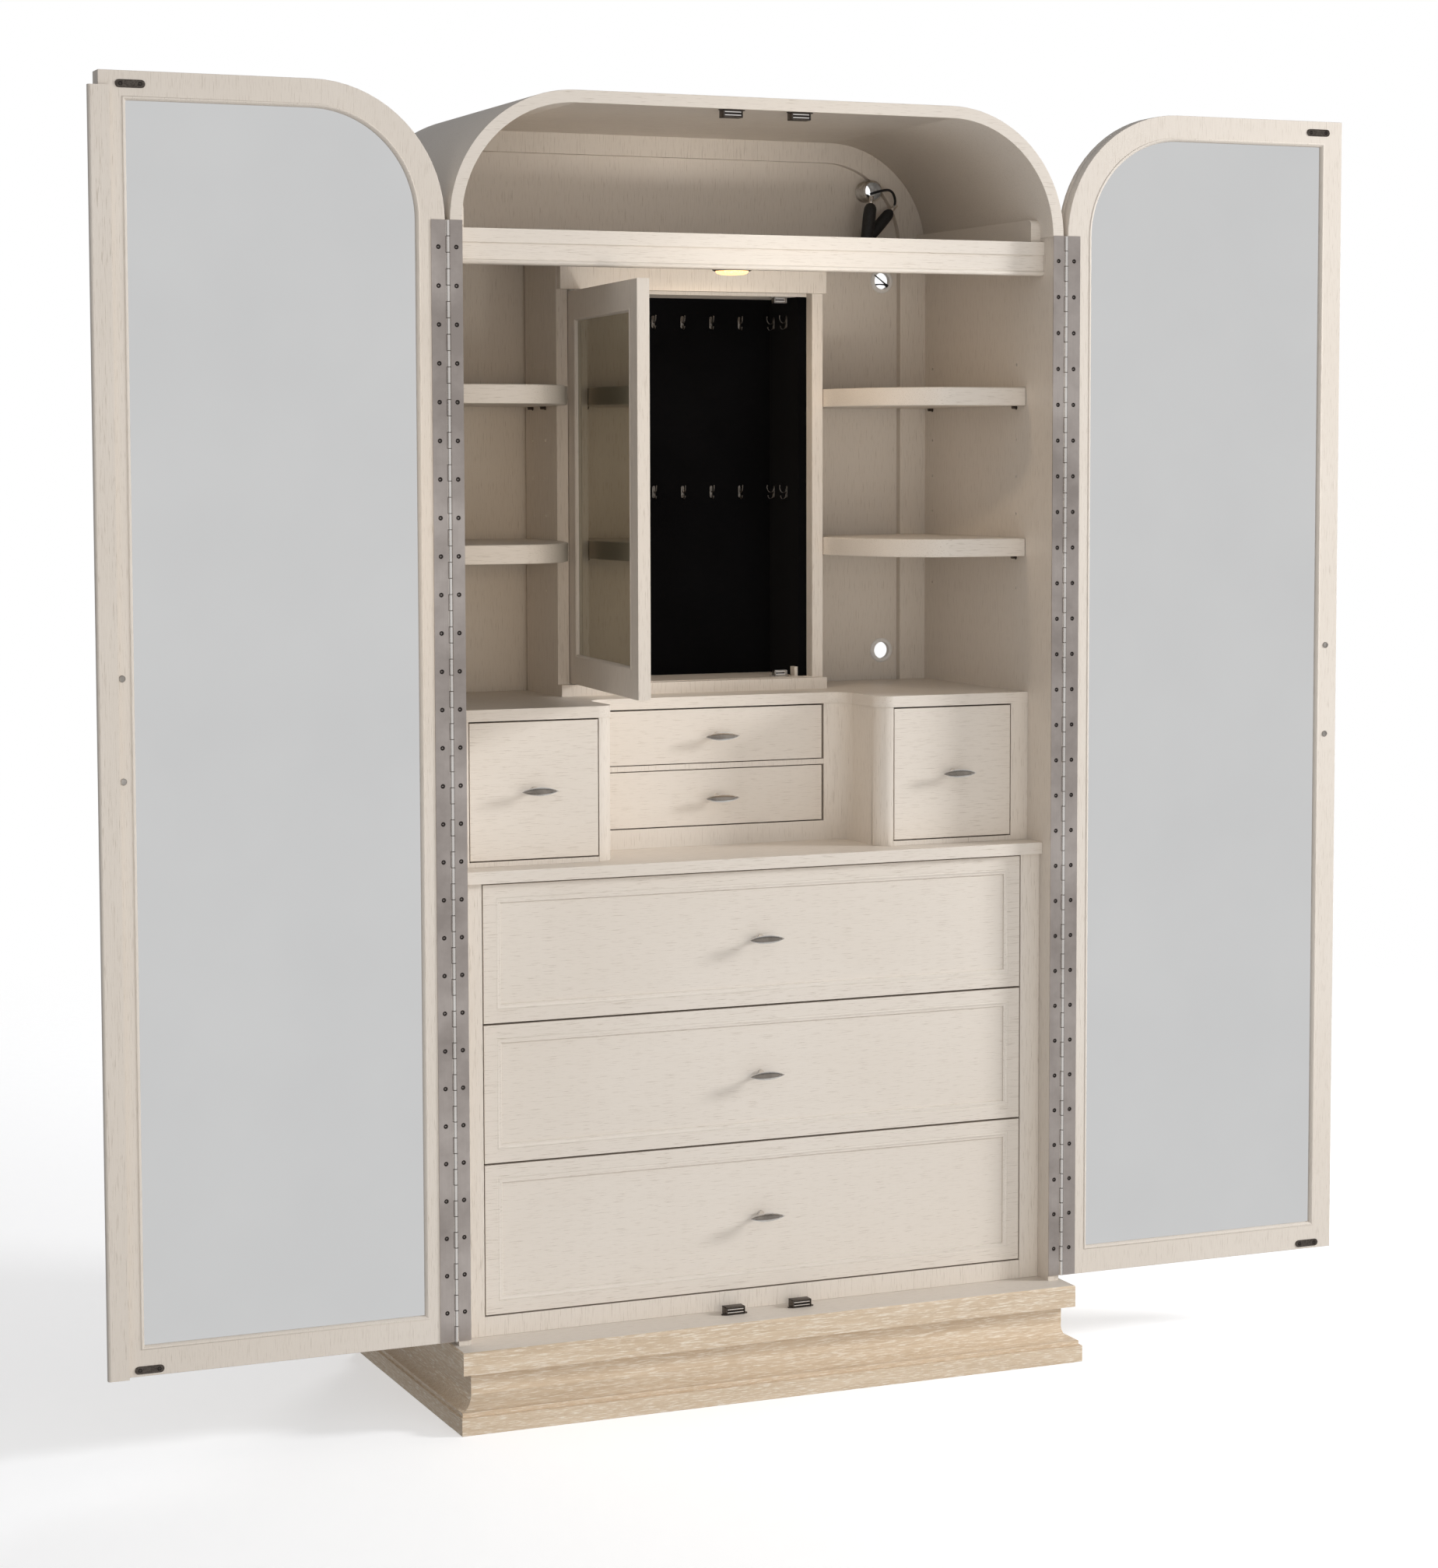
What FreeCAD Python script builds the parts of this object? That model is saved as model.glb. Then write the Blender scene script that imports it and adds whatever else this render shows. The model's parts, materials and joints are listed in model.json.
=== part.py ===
"""A mirrored two-door armoire with three large drawers, a U-shaped hutch of small drawers,
four shaped shelves and a jewellery cabinet with its own mirrored door.

Millimetres, +Z up, the front faces -Y.  Inside this file y is measured back from the
front edges of the carcass; save() then moves every part so that the origin is on the
floor at the middle of the base.  The two tall doors are stored folded right back,
flat beside the cabinet, and the jewellery door is stored standing open.
"""
import FreeCAD
import Part
import math
import os

from FreeCAD import Vector

os.makedirs("parts", exist_ok=True)

# ---- driving dimensions -------------------------------------------------------------
BASE_MIDDLE = 221.0        # y of the base's middle, which becomes the origin

HALF_W = 541.0             # carcass, outside
BOARD = 20.0               # carcass board
INNER_X = HALF_W - BOARD
TOP_Z = 2115.0
ARCH_R = 210.0             # outer radius of the two top corners
SPRING_Z = TOP_Z - ARCH_R
ARCH_X = HALF_W - ARCH_R   # where each top corner starts
DEPTH = 500.0

PLINTH_X, PLINTH_Y, PLINTH_Z = 556.5, -58.0, 28.0
SLAB_X, SLAB_Y = 549.0, -46.0
SLAB_Z0, SLAB_Z = 93.0, 130.0
COVE_X, COVE_Y = 531.0, -28.0      # top of the hollow moulding under the slab
COVE_FOOT = 553.0

BACK_Y = 478.0             # front face of the frame that the back panel is screwed to
PANEL_Y = 492.0            # front face of the back panel
REAR_STILE = 50.0
REAR_RAIL_Z = 2060.0

FACE_Y = 37.0              # front plane of the large drawers
FACE_T = 20.0
BIG_HALF = 482.8           # large drawer fronts
BIG_Z = ((637.0, 860.4), (410.8, 634.0), (164.4, 407.8))
BIG_TRAVEL_BACK = 455.0    # how far back the drawer boxes reach

COUNTER_Z0, COUNTER_Z, COUNTER_Y = 863.0, 883.0, 27.0

WING_Y = 83.0              # front plane of the hutch's two outer boxes
WING_X = 238.0             # inner wall of each outer box
CENTRE_Y = 221.0           # front plane of the hutch's middle
HUTCH_Z0, HUTCH_Z = 1117.5, 1136.5
POST_R = 28.0              # rounded corner post
COVE_R = 38.0              # hollow corner post
WING_DRAWER = (267.5, 487.5, 893.0, 1115.0)
CENTRE_HALF = 196.0
CENTRE_Z = ((1024.0, 1115.0), (918.0, 1012.0))
DIVIDER_Z = (1013.5, 1022.5)   # between the two middle drawers

JEWEL_X = 246.0            # outside of the jewellery cabinet
JEWEL_T = 20.0
JEWEL_Y = 325.0
JEWEL_BASE_Z = 1157.0
JEWEL_TOP_Z = 1818.5
JEWEL_OPEN = 96.5          # stored angle of the jewellery door
JEWEL_DOOR_T = 20.0
VELVET_T = 16.0            # velvet-covered board inside each side

SHELF_TOP_Z = 1898.0       # full-width top shelf
SHELF_TOP_T = 22.0
APRON_Z0 = 1842.0
TOP_SHELF_Y = 31.0

SHELF_T = 31.0
SHELF_Z = (1656.0, 1399.3)     # tops of the upper and lower shelves
SHELF_SIDE_Y = 94.0            # shelf front at the cabinet's side
PEG_PITCH = 63.7
PEG_LOW_Z = 1313.0
PEG_R = 2.5

DOOR_T = 34.0
DOOR_FRAME_T = 22.0
DOOR_Z0 = 137.0
PIN_X, PIN_Y = 545.0, -2.0
PIN_R = 1.5
KNUCKLE_R = 3.5
KNUCKLES = 7
LEAF_T = 1.5
LEAF_DOOR_X = 572.0
HINGE_Z0, HINGE_Z = 138.0, 1907.0
DOOR_GAP = 1.5             # half of the gap between the closed doors
DOOR_HINGE_X = 2 * PIN_X - HALF_W
DOOR_FREE_X = 2 * PIN_X - DOOR_GAP

X_AXIS, Y_AXIS, Z_AXIS = Vector(1, 0, 0), Vector(0, 1, 0), Vector(0, 0, 1)


# ---- helpers ------------------------------------------------------------------------
def box(x0, x1, y0, y1, z0, z1):
    return Part.makeBox(x1 - x0, y1 - y0, z1 - z0, Vector(x0, y0, z0))


def rod(start, end, radius):
    along = Vector(*end) - Vector(*start)
    return Part.makeCylinder(radius, along.Length, Vector(*start), along)


def mirrored(shape):
    return shape.mirror(Vector(0, 0, 0), X_AXIS)


def pair(shape):
    """The shape on the right and its mirror image on the left."""
    return [shape, mirrored(shape)]


def spin(shape, degrees, pivot, axis=Z_AXIS):
    turned = shape.copy()
    turned.rotate(pivot, axis, degrees)
    return turned


def save(name, solids):
    if not isinstance(solids, list):
        solids = [solids]
    whole = solids[0] if len(solids) == 1 else Part.makeCompound(solids)
    placed = whole.copy()
    placed.translate(Vector(0, -BASE_MIDDLE, 0))
    placed.exportStep("parts/" + name + ".step")


def face_of(points, y):
    """A flat face in the plane y.  A point is (x, z); an arc is ((x, z) middle, (x, z) end)."""
    edges = []
    here = Vector(points[0][0], y, points[0][1])
    start = here
    for item in points[1:] + [points[0]]:
        if isinstance(item[0], tuple):
            mid = Vector(item[0][0], y, item[0][1])
            there = Vector(item[1][0], y, item[1][1])
            edges.append(Part.Arc(here, mid, there).toShape())
        else:
            there = Vector(item[0], y, item[1])
            if (there - here).Length > 1e-6:
                edges.append(Part.makeLine(here, there))
        here = there
    assert (here - start).Length < 1e-6
    return Part.Face(Part.Wire(edges))


def quarter(cx, cz, radius, from_deg, to_deg):
    """An arc item for face_of() about (cx, cz)."""
    def at(deg):
        a = math.radians(deg)
        return (cx + radius * math.cos(a), cz + radius * math.sin(a))
    return (at((from_deg + to_deg) / 2), at(to_deg))


def routed(points, radius):
    """A round lead along straight runs joined by tangent arcs, as large as the runs allow."""
    corners = [Vector(*p) for p in points]
    edges = []
    here = corners[0]
    for before, corner, after in zip(corners, corners[1:], corners[2:]):
        inward = (before - corner).normalize()
        onward = (after - corner).normalize()
        reach = 0.45 * min((before - corner).Length, (after - corner).Length)
        arc_in, arc_out = corner + inward * reach, corner + onward * reach
        half_turn = (math.pi - inward.getAngle(onward)) / 2
        bend = reach / math.tan(half_turn)
        to_centre = (inward + onward).normalize()
        middle = corner + to_centre * (bend / math.cos(half_turn) - bend)
        edges.append(Part.makeLine(here, arc_in))
        edges.append(Part.Arc(arc_in, middle, arc_out).toShape())
        here = arc_out
    edges.append(Part.makeLine(here, corners[-1]))
    section = Part.makeCircle(radius, corners[0], corners[1] - corners[0])
    return Part.Wire(edges).makePipeShell([Part.Wire([section])], True, True)


def arch(half, z0, z1, radius, y0, y1, centre=None):
    """A full-width board with two rounded top corners."""
    cx, cz = centre or (half - radius, z1 - radius)
    points = [(half, z0), (half, cz), quarter(cx, cz, radius, 0, 90),
              (-cx, z1), quarter(-cx, cz, radius, 90, 180), (-half, z0)]
    return face_of(points, y0).extrude(Vector(0, y1 - y0, 0))


def half_arch(x0, x1, z0, z1, radius, y0, y1):
    """A door-shaped board with one rounded top corner, at x0."""
    cx, cz = x0 + radius, z1 - radius
    points = [(x1, z0), (x1, z1), (cx, z1), quarter(cx, cz, radius, 90, 180), (x0, z0)]
    return face_of(points, y0).extrude(Vector(0, y1 - y0, 0))


# ---- base ---------------------------------------------------------------------------
def plinth():
    inner_x, inner_y, back = 500.0, 0.0, DEPTH
    rails = [box(-PLINTH_X, PLINTH_X, PLINTH_Y, inner_y, 0, PLINTH_Z),
             box(-PLINTH_X, PLINTH_X, back - 40, back, 0, PLINTH_Z)]
    rails += pair(box(inner_x, PLINTH_X, inner_y, back - 40, 0, PLINTH_Z))
    bearer = box(-30, 30, inner_y, back - 40, 0, PLINTH_Z)
    save("plinth_rails", rails + [bearer])


def cove_profile(reach, inner, height0, height1):
    """Hollow moulding in section: (outward distance, height) points round a quarter hollow."""
    foot = reach + (COVE_FOOT - COVE_X)
    bead = height0 + 7.0
    hollow = COVE_FOOT - COVE_X
    return [(inner, height0), (foot, height0), (foot, bead),
            quarter(foot, bead + hollow, hollow, 270, 180), (reach, height1), (inner, height1)]


def coves():
    side = face_of(cove_profile(COVE_X, 495.0, PLINTH_Z, SLAB_Z0), 0)
    run = side.extrude(Vector(0, 900, 0))
    run.translate(Vector(0, -100, 0))
    front = spin(face_of(cove_profile(-COVE_Y, 0.0, PLINTH_Z, SLAB_Z0), 0), -90, Vector(0, 0, 0))
    front_run = front.extrude(Vector(1400, 0, 0))
    front_run.translate(Vector(-700, 0, 0))
    # both runs are mitred on the diagonal through the outer corner
    corner = Vector(COVE_X, COVE_Y, 0)
    far = 800.0
    wedge = Part.Face(Part.makePolygon([corner + Vector(far, -far, 0), corner + Vector(far, far, 0),
                                        corner + Vector(-far, far, 0),
                                        corner + Vector(far, -far, 0)]))
    behind = wedge.extrude(Vector(0, 0, 200))
    right = run.common(behind).common(box(400, 700, -200, DEPTH, 0, 200))
    front_piece = front_run.cut(behind).cut(mirrored(behind))
    back = box(-495, 495, DEPTH - 20, DEPTH, PLINTH_Z, SLAB_Z0)
    save("cove_mouldings", pair(right) + [front_piece, back])


def slab():
    board = box(-SLAB_X, SLAB_X, SLAB_Y, DEPTH, SLAB_Z0, SLAB_Z)
    edges = [e for e in board.Edges if abs(e.CenterOfMass.z - SLAB_Z) < 0.01
             and e.CenterOfMass.y < DEPTH - 1]
    save("base_slab", board.makeFillet(3.0, edges))


# ---- carcass ------------------------------------------------------------------------
def peg_holes(columns, x, depth, heights):
    return [Part.makeCylinder(PEG_R, abs(depth), Vector(x, y, z),
                              X_AXIS * math.copysign(1, depth))
            for y in columns for z in heights]


PEG_HEIGHTS = [PEG_LOW_Z + PEG_PITCH * i for i in range(7) if i not in (1, 5)]


def carcass():
    side = box(INNER_X, HALF_W, 0, DEPTH, SLAB_Z, SPRING_Z)
    side = side.cut(Part.makeCompound(peg_holes((128, 448), INNER_X - 1, 11, PEG_HEIGHTS)))
    save("right_side", side)
    save("left_side", mirrored(side))
    top = box(-ARCH_X, ARCH_X, 0, DEPTH, TOP_Z - BOARD, TOP_Z)
    ring = [(ARCH_X, TOP_Z), quarter(ARCH_X, SPRING_Z, ARCH_R, 90, 0), (INNER_X, SPRING_Z),
            quarter(ARCH_X, SPRING_Z, ARCH_R - BOARD, 0, 90)]
    bend = face_of(ring, 0).extrude(Vector(0, DEPTH, 0))
    save("arched_top", pair(bend) + [top])


GROMMET_X, GROMMET_R = 440.0, 15.0
GROMMET_Z = (1854.0, 1189.0)
LEAD_HOLE = (406.0, 2011.0)
WIRE_R = 2.5
CONDUIT_R, CONDUIT_WALL, CONDUIT_Y = 18.5, 3.0, 456.0


def back():
    panel = arch(INNER_X, SLAB_Z, TOP_Z - BOARD, ARCH_R - BOARD, PANEL_Y, DEPTH)
    holes = [rod((GROMMET_X, PANEL_Y - 1, z), (GROMMET_X, DEPTH + 1, z), GROMMET_R)
             for z in GROMMET_Z]
    holes.append(rod((LEAD_HOLE[0], PANEL_Y - 1, LEAD_HOLE[1]),
                     (LEAD_HOLE[0], DEPTH + 1, LEAD_HOLE[1]), CONDUIT_R))
    save("back_panel", panel.cut(Part.makeCompound(holes)))
    save("cable_grommets", [rod((GROMMET_X, PANEL_Y - 3, z), (GROMMET_X, PANEL_Y, z), 22.0).cut(
        rod((GROMMET_X, PANEL_Y - 4, z), (GROMMET_X, PANEL_Y + 1, z), GROMMET_R)) for z in GROMMET_Z])
    inner_cx, inner_cz, inner_r = 325.0, 1914.0, 146.0
    outer = arch(INNER_X, SPRING_Z, TOP_Z - BOARD, ARCH_R - BOARD, BACK_Y, PANEL_Y)
    inner = arch(INNER_X - REAR_STILE, SPRING_Z - 5, REAR_RAIL_Z, inner_r, BACK_Y - 1, PANEL_Y + 1,
                 (inner_cx, inner_cz))
    rim = outer.cut(inner)
    rail = rim.common(box(-inner_cx, inner_cx, 0, 600, 0, 3000))
    corner = rim.common(box(inner_cx, 600, 0, 600, 0, 3000))
    stile = box(INNER_X - REAR_STILE, INNER_X, BACK_Y, PANEL_Y, SLAB_Z, SPRING_Z)
    save("rear_frame", [rail] + pair(corner) + pair(stile))


# ---- large drawers ------------------------------------------------------------------
def pull(x, z, face_y):
    """A boat-shaped pull on one post."""
    half, rise, stand = 31.0, 7.0, 28.0
    lens = face_of([(x - half, z), ((x, z + rise), (x + half, z)), ((x, z - rise), (x - half, z))],
                   face_y - stand).extrude(Vector(0, 8, 0))
    return lens.fuse(rod((x, face_y - stand + 7, z), (x, face_y, z), 5.0)).removeSplitter()


def drawer_front(x0, x1, z0, z1, y, border, thick=FACE_T):
    board = box(x0, x1, y, y + thick, z0, z1)
    if border:
        step = border + 8.0
        board = board.cut(box(x0 + border, x1 - border, y - 1, y + 1.5, z0 + border, z1 - border))
        board = board.cut(box(x0 + step, x1 - step, y - 1, y + 4.0, z0 + step, z1 - step))
    return board


def drawer_box(x0, x1, y0, y1, z0, z1, wall, floor):
    return [box(x0, x0 + wall, y0, y1, z0, z1), box(x1 - wall, x1, y0, y1, z0, z1),
            box(x0 + wall, x1 - wall, y0, y0 + wall, z0, z1),
            box(x0 + wall, x1 - wall, y1 - wall, y1, z0, z1),
            box(x0 + wall, x1 - wall, y0 + wall, y1 - wall, z0, z0 + floor)]


BIG_BOX_X = 469.0
SLIDE_MID = 475.8


def large_drawers():
    fixed = []
    blocks = []
    for number, (z0, z1) in enumerate(BIG_Z, 1):
        name = "large_drawer_%d" % number
        mid = (z0 + z1) / 2
        save(name + "_front", drawer_front(-BIG_HALF, BIG_HALF, z0, z1, FACE_Y, 22.0))
        runners = pair(box(BIG_BOX_X, SLIDE_MID - 0.4, FACE_Y + FACE_T + 4, BIG_TRAVEL_BACK,
                           mid - 20, mid + 20))
        save(name + "_box", drawer_box(-BIG_BOX_X, BIG_BOX_X, FACE_Y + FACE_T, BIG_TRAVEL_BACK,
                                       z0 + 14, z1 - 28, 12.0, 8.0) + runners)
        save(name + "_pull", pull(0, mid, FACE_Y))
        fixed += pair(box(SLIDE_MID, 482.5, FACE_Y + FACE_T + 4, BIG_TRAVEL_BACK,
                          mid - 22, mid + 22))
        blocks += pair(box(482.5, INNER_X, FACE_Y + FACE_T + 4, BIG_TRAVEL_BACK, mid - 25, mid + 25))
    save("slide_channels", fixed)
    return blocks


def face_frame():
    stiles = pair(box(484.5, INNER_X, FACE_Y, FACE_Y + FACE_T, SLAB_Z, COUNTER_Z0))
    rail = box(-484.5, 484.5, FACE_Y, FACE_Y + FACE_T, SLAB_Z, 162.0)
    save("face_frame", stiles + [rail])
    save("counter_top", box(-INNER_X, INNER_X, COUNTER_Y, BACK_Y, COUNTER_Z0, COUNTER_Z))


# ---- hutch --------------------------------------------------------------------------
def plan(points, z0, z1):
    """A solid from a plan outline: (x, y) points, or arcs as face_of() takes them."""
    flat = face_of(points, 0)
    flat.rotate(Vector(0, 0, 0), X_AXIS, -90)          # (x, 0, v) becomes (x, v, 0)
    solid = flat.extrude(Vector(0, 0, z1 - z0))
    solid.translate(Vector(0, 0, z0))
    return solid


def hutch():
    # the top: two forward wings with a rounded inner corner, joined by a set-back middle
    r = POST_R + 1
    wing = plan([(WING_X - 1, BACK_Y), (WING_X - 1, WING_Y + r - 1),
                 quarter(WING_X - 1 + r, WING_Y - 1 + r, r, 180, 270),
                 (INNER_X, WING_Y - 1), (INNER_X, BACK_Y)], HUTCH_Z0, HUTCH_Z)
    edge = CENTRE_Y - 1
    hollow = 34.0
    middle = plan([(WING_X - 1, BACK_Y), (WING_X - 1, edge - hollow),
                   quarter(WING_X - 1 - hollow, edge - hollow, hollow, 0, 90),
                   (-WING_X + 1 + hollow, edge),
                   quarter(-WING_X + 1 + hollow, edge - hollow, hollow, 90, 180),
                   (-WING_X + 1, BACK_Y)], HUTCH_Z0, HUTCH_Z)
    save("hutch_top", pair(wing) + [middle])
    low, high = COUNTER_Z, HUTCH_Z0
    walls = pair(box(WING_X, WING_X + 18, WING_Y + POST_R, BACK_Y, low, high))
    post = plan([(WING_X, WING_Y + POST_R),
                 quarter(WING_X + POST_R, WING_Y + POST_R, POST_R, 180, 270),
                 (WING_X + POST_R, WING_Y + POST_R)], low, high)
    cove = plan([(WING_X, CENTRE_Y - COVE_R),
                 quarter(WING_X - COVE_R, CENTRE_Y - COVE_R, COVE_R, 0, 90),
                 (WING_X - COVE_R, CENTRE_Y + 18), (WING_X, CENTRE_Y + 18)], low, high)
    stile = box(WING_DRAWER[1] + 1.5, INNER_X, WING_Y, WING_Y + 18, low, high)
    rails = pair(box(WING_X + POST_R, WING_DRAWER[1] + 1.5, WING_Y, WING_Y + 18, low, 891.0))
    for z0, z1 in ((low, 916.0), DIVIDER_Z):
        rails.append(box(-WING_X + COVE_R, WING_X - COVE_R, CENTRE_Y, CENTRE_Y + 18, z0, z1))
    save("hutch_frame", walls + pair(post) + pair(cove) + pair(stile) + rails)
    guides = [box(-WING_X, WING_X, CENTRE_Y + 18.5, BACK_Y, 906.0, 916.0),
              box(-WING_X, WING_X, CENTRE_Y + 18.5, BACK_Y, DIVIDER_Z[0], DIVIDER_Z[1])]
    for x in (275.0, 455.0):
        guides += pair(box(x, x + 20, WING_Y + 18.5, 440, low, 892.0))
    return guides


def small_drawers():
    x0, x1, z0, z1 = WING_DRAWER
    back_y = 440.0
    for side, sign in (("left", -1), ("right", 1)):
        a, b = sorted((sign * x0, sign * x1))
        save(side + "_box_drawer", [drawer_front(a, b, z0, z1, WING_Y, 0)]
             + drawer_box(a + 5, b - 5, WING_Y + FACE_T, back_y, z0, z1 - 14, 11.0, 8.0))
        save(side + "_box_drawer_pull", pull((a + b) / 2, (z0 + z1) / 2, WING_Y))
    for place, (z0, z1) in zip(("upper", "lower"), CENTRE_Z):
        name = place + "_centre_drawer"
        save(name, [drawer_front(-CENTRE_HALF, CENTRE_HALF, z0, z1, CENTRE_Y, 0)]
             + drawer_box(-190, 190, CENTRE_Y + FACE_T, 455, z0, z1 - 14, 11.0, 7.0))
        save(name + "_pull", pull(0, (z0 + z1) / 2, CENTRE_Y))


# ---- shelves ------------------------------------------------------------------------
def shelf_solid(z1):
    """A right-hand shelf: deep at the cabinet's side, swept back to the jewellery cabinet."""
    x0, x1 = JEWEL_X + 1, INNER_X - 1
    corner_r = 2.0
    sweep = Part.BSplineCurve()
    sweep.interpolate([Vector(x0, JEWEL_Y - 6, 0), Vector(256, 262, 0), Vector(272, 205, 0),
                       Vector(300, 148, 0), Vector(345, 106, 0), Vector(400, SHELF_SIDE_Y, 0)],
                      InitialTangent=Vector(0.1, -1, 0), FinalTangent=Vector(1, 0, 0))
    ends = [Vector(400, SHELF_SIDE_Y, 0), Vector(x1, SHELF_SIDE_Y, 0), Vector(x1, BACK_Y - 1, 0),
            Vector(x0, BACK_Y - 1, 0), Vector(x0, JEWEL_Y - 6, 0)]
    edges = [sweep.toShape()] + [Part.makeLine(a, b) for a, b in zip(ends, ends[1:])]
    solid = Part.Face(Part.Wire(edges)).extrude(Vector(0, 0, SHELF_T))
    solid.translate(Vector(0, 0, z1 - SHELF_T))
    rim = [e for e in solid.Edges if e.CenterOfMass.y < 200 and abs(e.tangentAt(
        e.FirstParameter).z) < 0.1 and e.Length > 50]
    return solid.makeFillet(corner_r, rim)


def shelves():
    pegs = []
    right = [shelf_solid(z1) for z1 in SHELF_Z]
    save("right_shelves", right)
    save("left_shelves", [mirrored(s) for s in right])
    for z1 in SHELF_Z:
        z = z1 - SHELF_T - PEG_R
        for y in (128.0, 448.0):
            pegs += pair(rod((INNER_X - 9, y, z), (INNER_X, y, z), PEG_R))
        for y in (380.0, 442.0):
            pegs += pair(rod((JEWEL_X, y, z), (JEWEL_X + 9, y, z), PEG_R))
    save("shelf_pegs", pegs)


def top_shelf():
    board_z = SHELF_TOP_Z - SHELF_TOP_T
    board = box(-INNER_X, INNER_X, TOP_SHELF_Y, BACK_Y, board_z, SHELF_TOP_Z)
    apron = box(-INNER_X, INNER_X, TOP_SHELF_Y + 3, TOP_SHELF_Y + 21, APRON_Z0, board_z)
    bead = rod((-INNER_X, TOP_SHELF_Y + 4, APRON_Z0 + 4), (INNER_X, TOP_SHELF_Y + 4, APRON_Z0 + 4), 4)
    apron = apron.fuse(bead).removeSplitter()
    cleat = box(INNER_X - 18, INNER_X, 45, BACK_Y, SHELF_TOP_Z, SHELF_TOP_Z + 38)
    nose = [e for e in cleat.Edges if abs(e.CenterOfMass.y - 45) < 0.01
            and abs(e.CenterOfMass.z - SHELF_TOP_Z - 38) < 0.01]
    inside = arch(INNER_X, SLAB_Z, TOP_Z - BOARD, ARCH_R - BOARD, 0, DEPTH)
    cleat = cleat.makeFillet(10.0, nose).common(inside)
    save("top_shelf", [board, apron] + pair(cleat))
    lamp_y, lamp_r, lamp_h, lens_h = 150.0, 33.0, 30.0, 7.0
    save("puck_lamp", [
        Part.makeCylinder(lamp_r, lamp_h, Vector(0, lamp_y, board_z - lamp_h), Z_AXIS),
        Part.makeCylinder(lamp_r - 6, lens_h, Vector(0, lamp_y, board_z - lamp_h - lens_h), Z_AXIS)])


def sleeve(foot, head, radius):
    """A sleeve that leans, cut off flat where it stands on the top shelf."""
    down = (Vector(*foot) - Vector(*head)).normalize() * 20
    low = Vector(*foot) + down
    whole = rod((low.x, low.y, low.z), head, radius)
    return whole.cut(box(0, INNER_X, 300, BACK_Y, SHELF_TOP_Z - 60, SHELF_TOP_Z))


def above(foot, head, distance):
    """The point past a sleeve's head, in line with the sleeve."""
    along = (Vector(*head) - Vector(*foot)).normalize() * distance
    point = Vector(*head) + along
    return (point.x, point.y, point.z)


def light_leads():
    """A conduit through the back, and two wires from it to the sleeves on the top shelf."""
    x, z = LEAD_HOLE
    conduit = rod((x, CONDUIT_Y, z), (x, DEPTH, z), CONDUIT_R)
    save("supply_conduit", conduit.cut(rod((x, CONDUIT_Y - 1, z), (x, DEPTH + 1, z),
                                           CONDUIT_R - CONDUIT_WALL)))
    supply_foot, supply_head = (380, 436, SHELF_TOP_Z), (394, 440, 1989)
    lamp_foot, lamp_head = (372, 460, SHELF_TOP_Z), (447, 464, 1979)
    save("lead_sleeves", [sleeve(supply_foot, supply_head, 11.0),
                          sleeve(lamp_foot, lamp_head, 10.0)])
    supply = [(399, 480, 2005), above(supply_foot, supply_head, 13), supply_head]
    lamp = [(414, 482, 2008), (415, 446, 2011), (440, 448, 2014),
            above(lamp_foot, lamp_head, 14), lamp_head]
    save("lead_wires", [routed(supply, WIRE_R), routed(lamp, WIRE_R)])


# ---- jewellery cabinet --------------------------------------------------------------
HOOK_PITCH = 54.7


def hook(x, wall_y, z):
    """A necklace hook on a wall that faces the front."""
    stem = rod((x, wall_y - 16, z), (x, wall_y, z), 1.6)
    tip = rod((x, wall_y - 14.4, z), (x, wall_y - 14.4, z + 9), 1.5)
    return stem.fuse(tip).removeSplitter()


def jewellery_cabinet():
    inner = JEWEL_X - JEWEL_T
    board_z = SHELF_TOP_Z - SHELF_TOP_T
    side = box(inner, JEWEL_X, JEWEL_Y, BACK_Y, HUTCH_Z, board_z)
    side = side.cut(Part.makeCompound(peg_holes((380, 442), JEWEL_X + 1, -11, PEG_HEIGHTS)))
    fascia = box(-JEWEL_X + 1, JEWEL_X - 1, JEWEL_Y - 18, JEWEL_Y, JEWEL_TOP_Z + 1.5, board_z)
    floor = box(-inner, inner, JEWEL_Y, BACK_Y, HUTCH_Z, JEWEL_BASE_Z)
    moulding = box(-JEWEL_X, JEWEL_X, JEWEL_Y - 18, JEWEL_Y, HUTCH_Z, JEWEL_BASE_Z - 1)
    stop = box(204, inner, JEWEL_Y + 26, JEWEL_Y + 44, JEWEL_BASE_Z, JEWEL_BASE_Z + 16)
    roof_z = JEWEL_TOP_Z - 3
    roof = box(-inner, inner, JEWEL_Y + 24, BACK_Y, roof_z, roof_z + 12)
    save("jewellery_cabinet", pair(side) + [fascia, floor, moulding, stop, roof])
    velvet = pair(box(inner - VELVET_T, inner, JEWEL_Y + 24, BACK_Y - 8, JEWEL_BASE_Z, roof_z))
    save("velvet_lining", [board.cut(stop) for board in velvet]
         + [box(-inner, inner, BACK_Y - 8, BACK_Y, JEWEL_BASE_Z, roof_z)])
    hooks = []
    face = BACK_Y - 8
    for z in (1776.0, 1480.0):
        for column in range(5):
            hooks.append(hook(column * HOOK_PITCH - 67, face, z))
        for y in (453, 453 - HOOK_PITCH):
            hooks.append(spin(hook(-y, inner - VELVET_T, z), -90, Vector(0, 0, 0)))
    save("necklace_hooks", hooks)
    return [box(160, 196, JEWEL_Y + 26, JEWEL_Y + 38, z, z + 11)
            for z in (roof_z - 11, JEWEL_BASE_Z)]


JEWEL_PIN = (-221.5, JEWEL_Y + 3)
JEWEL_GAP = 1.5


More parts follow.
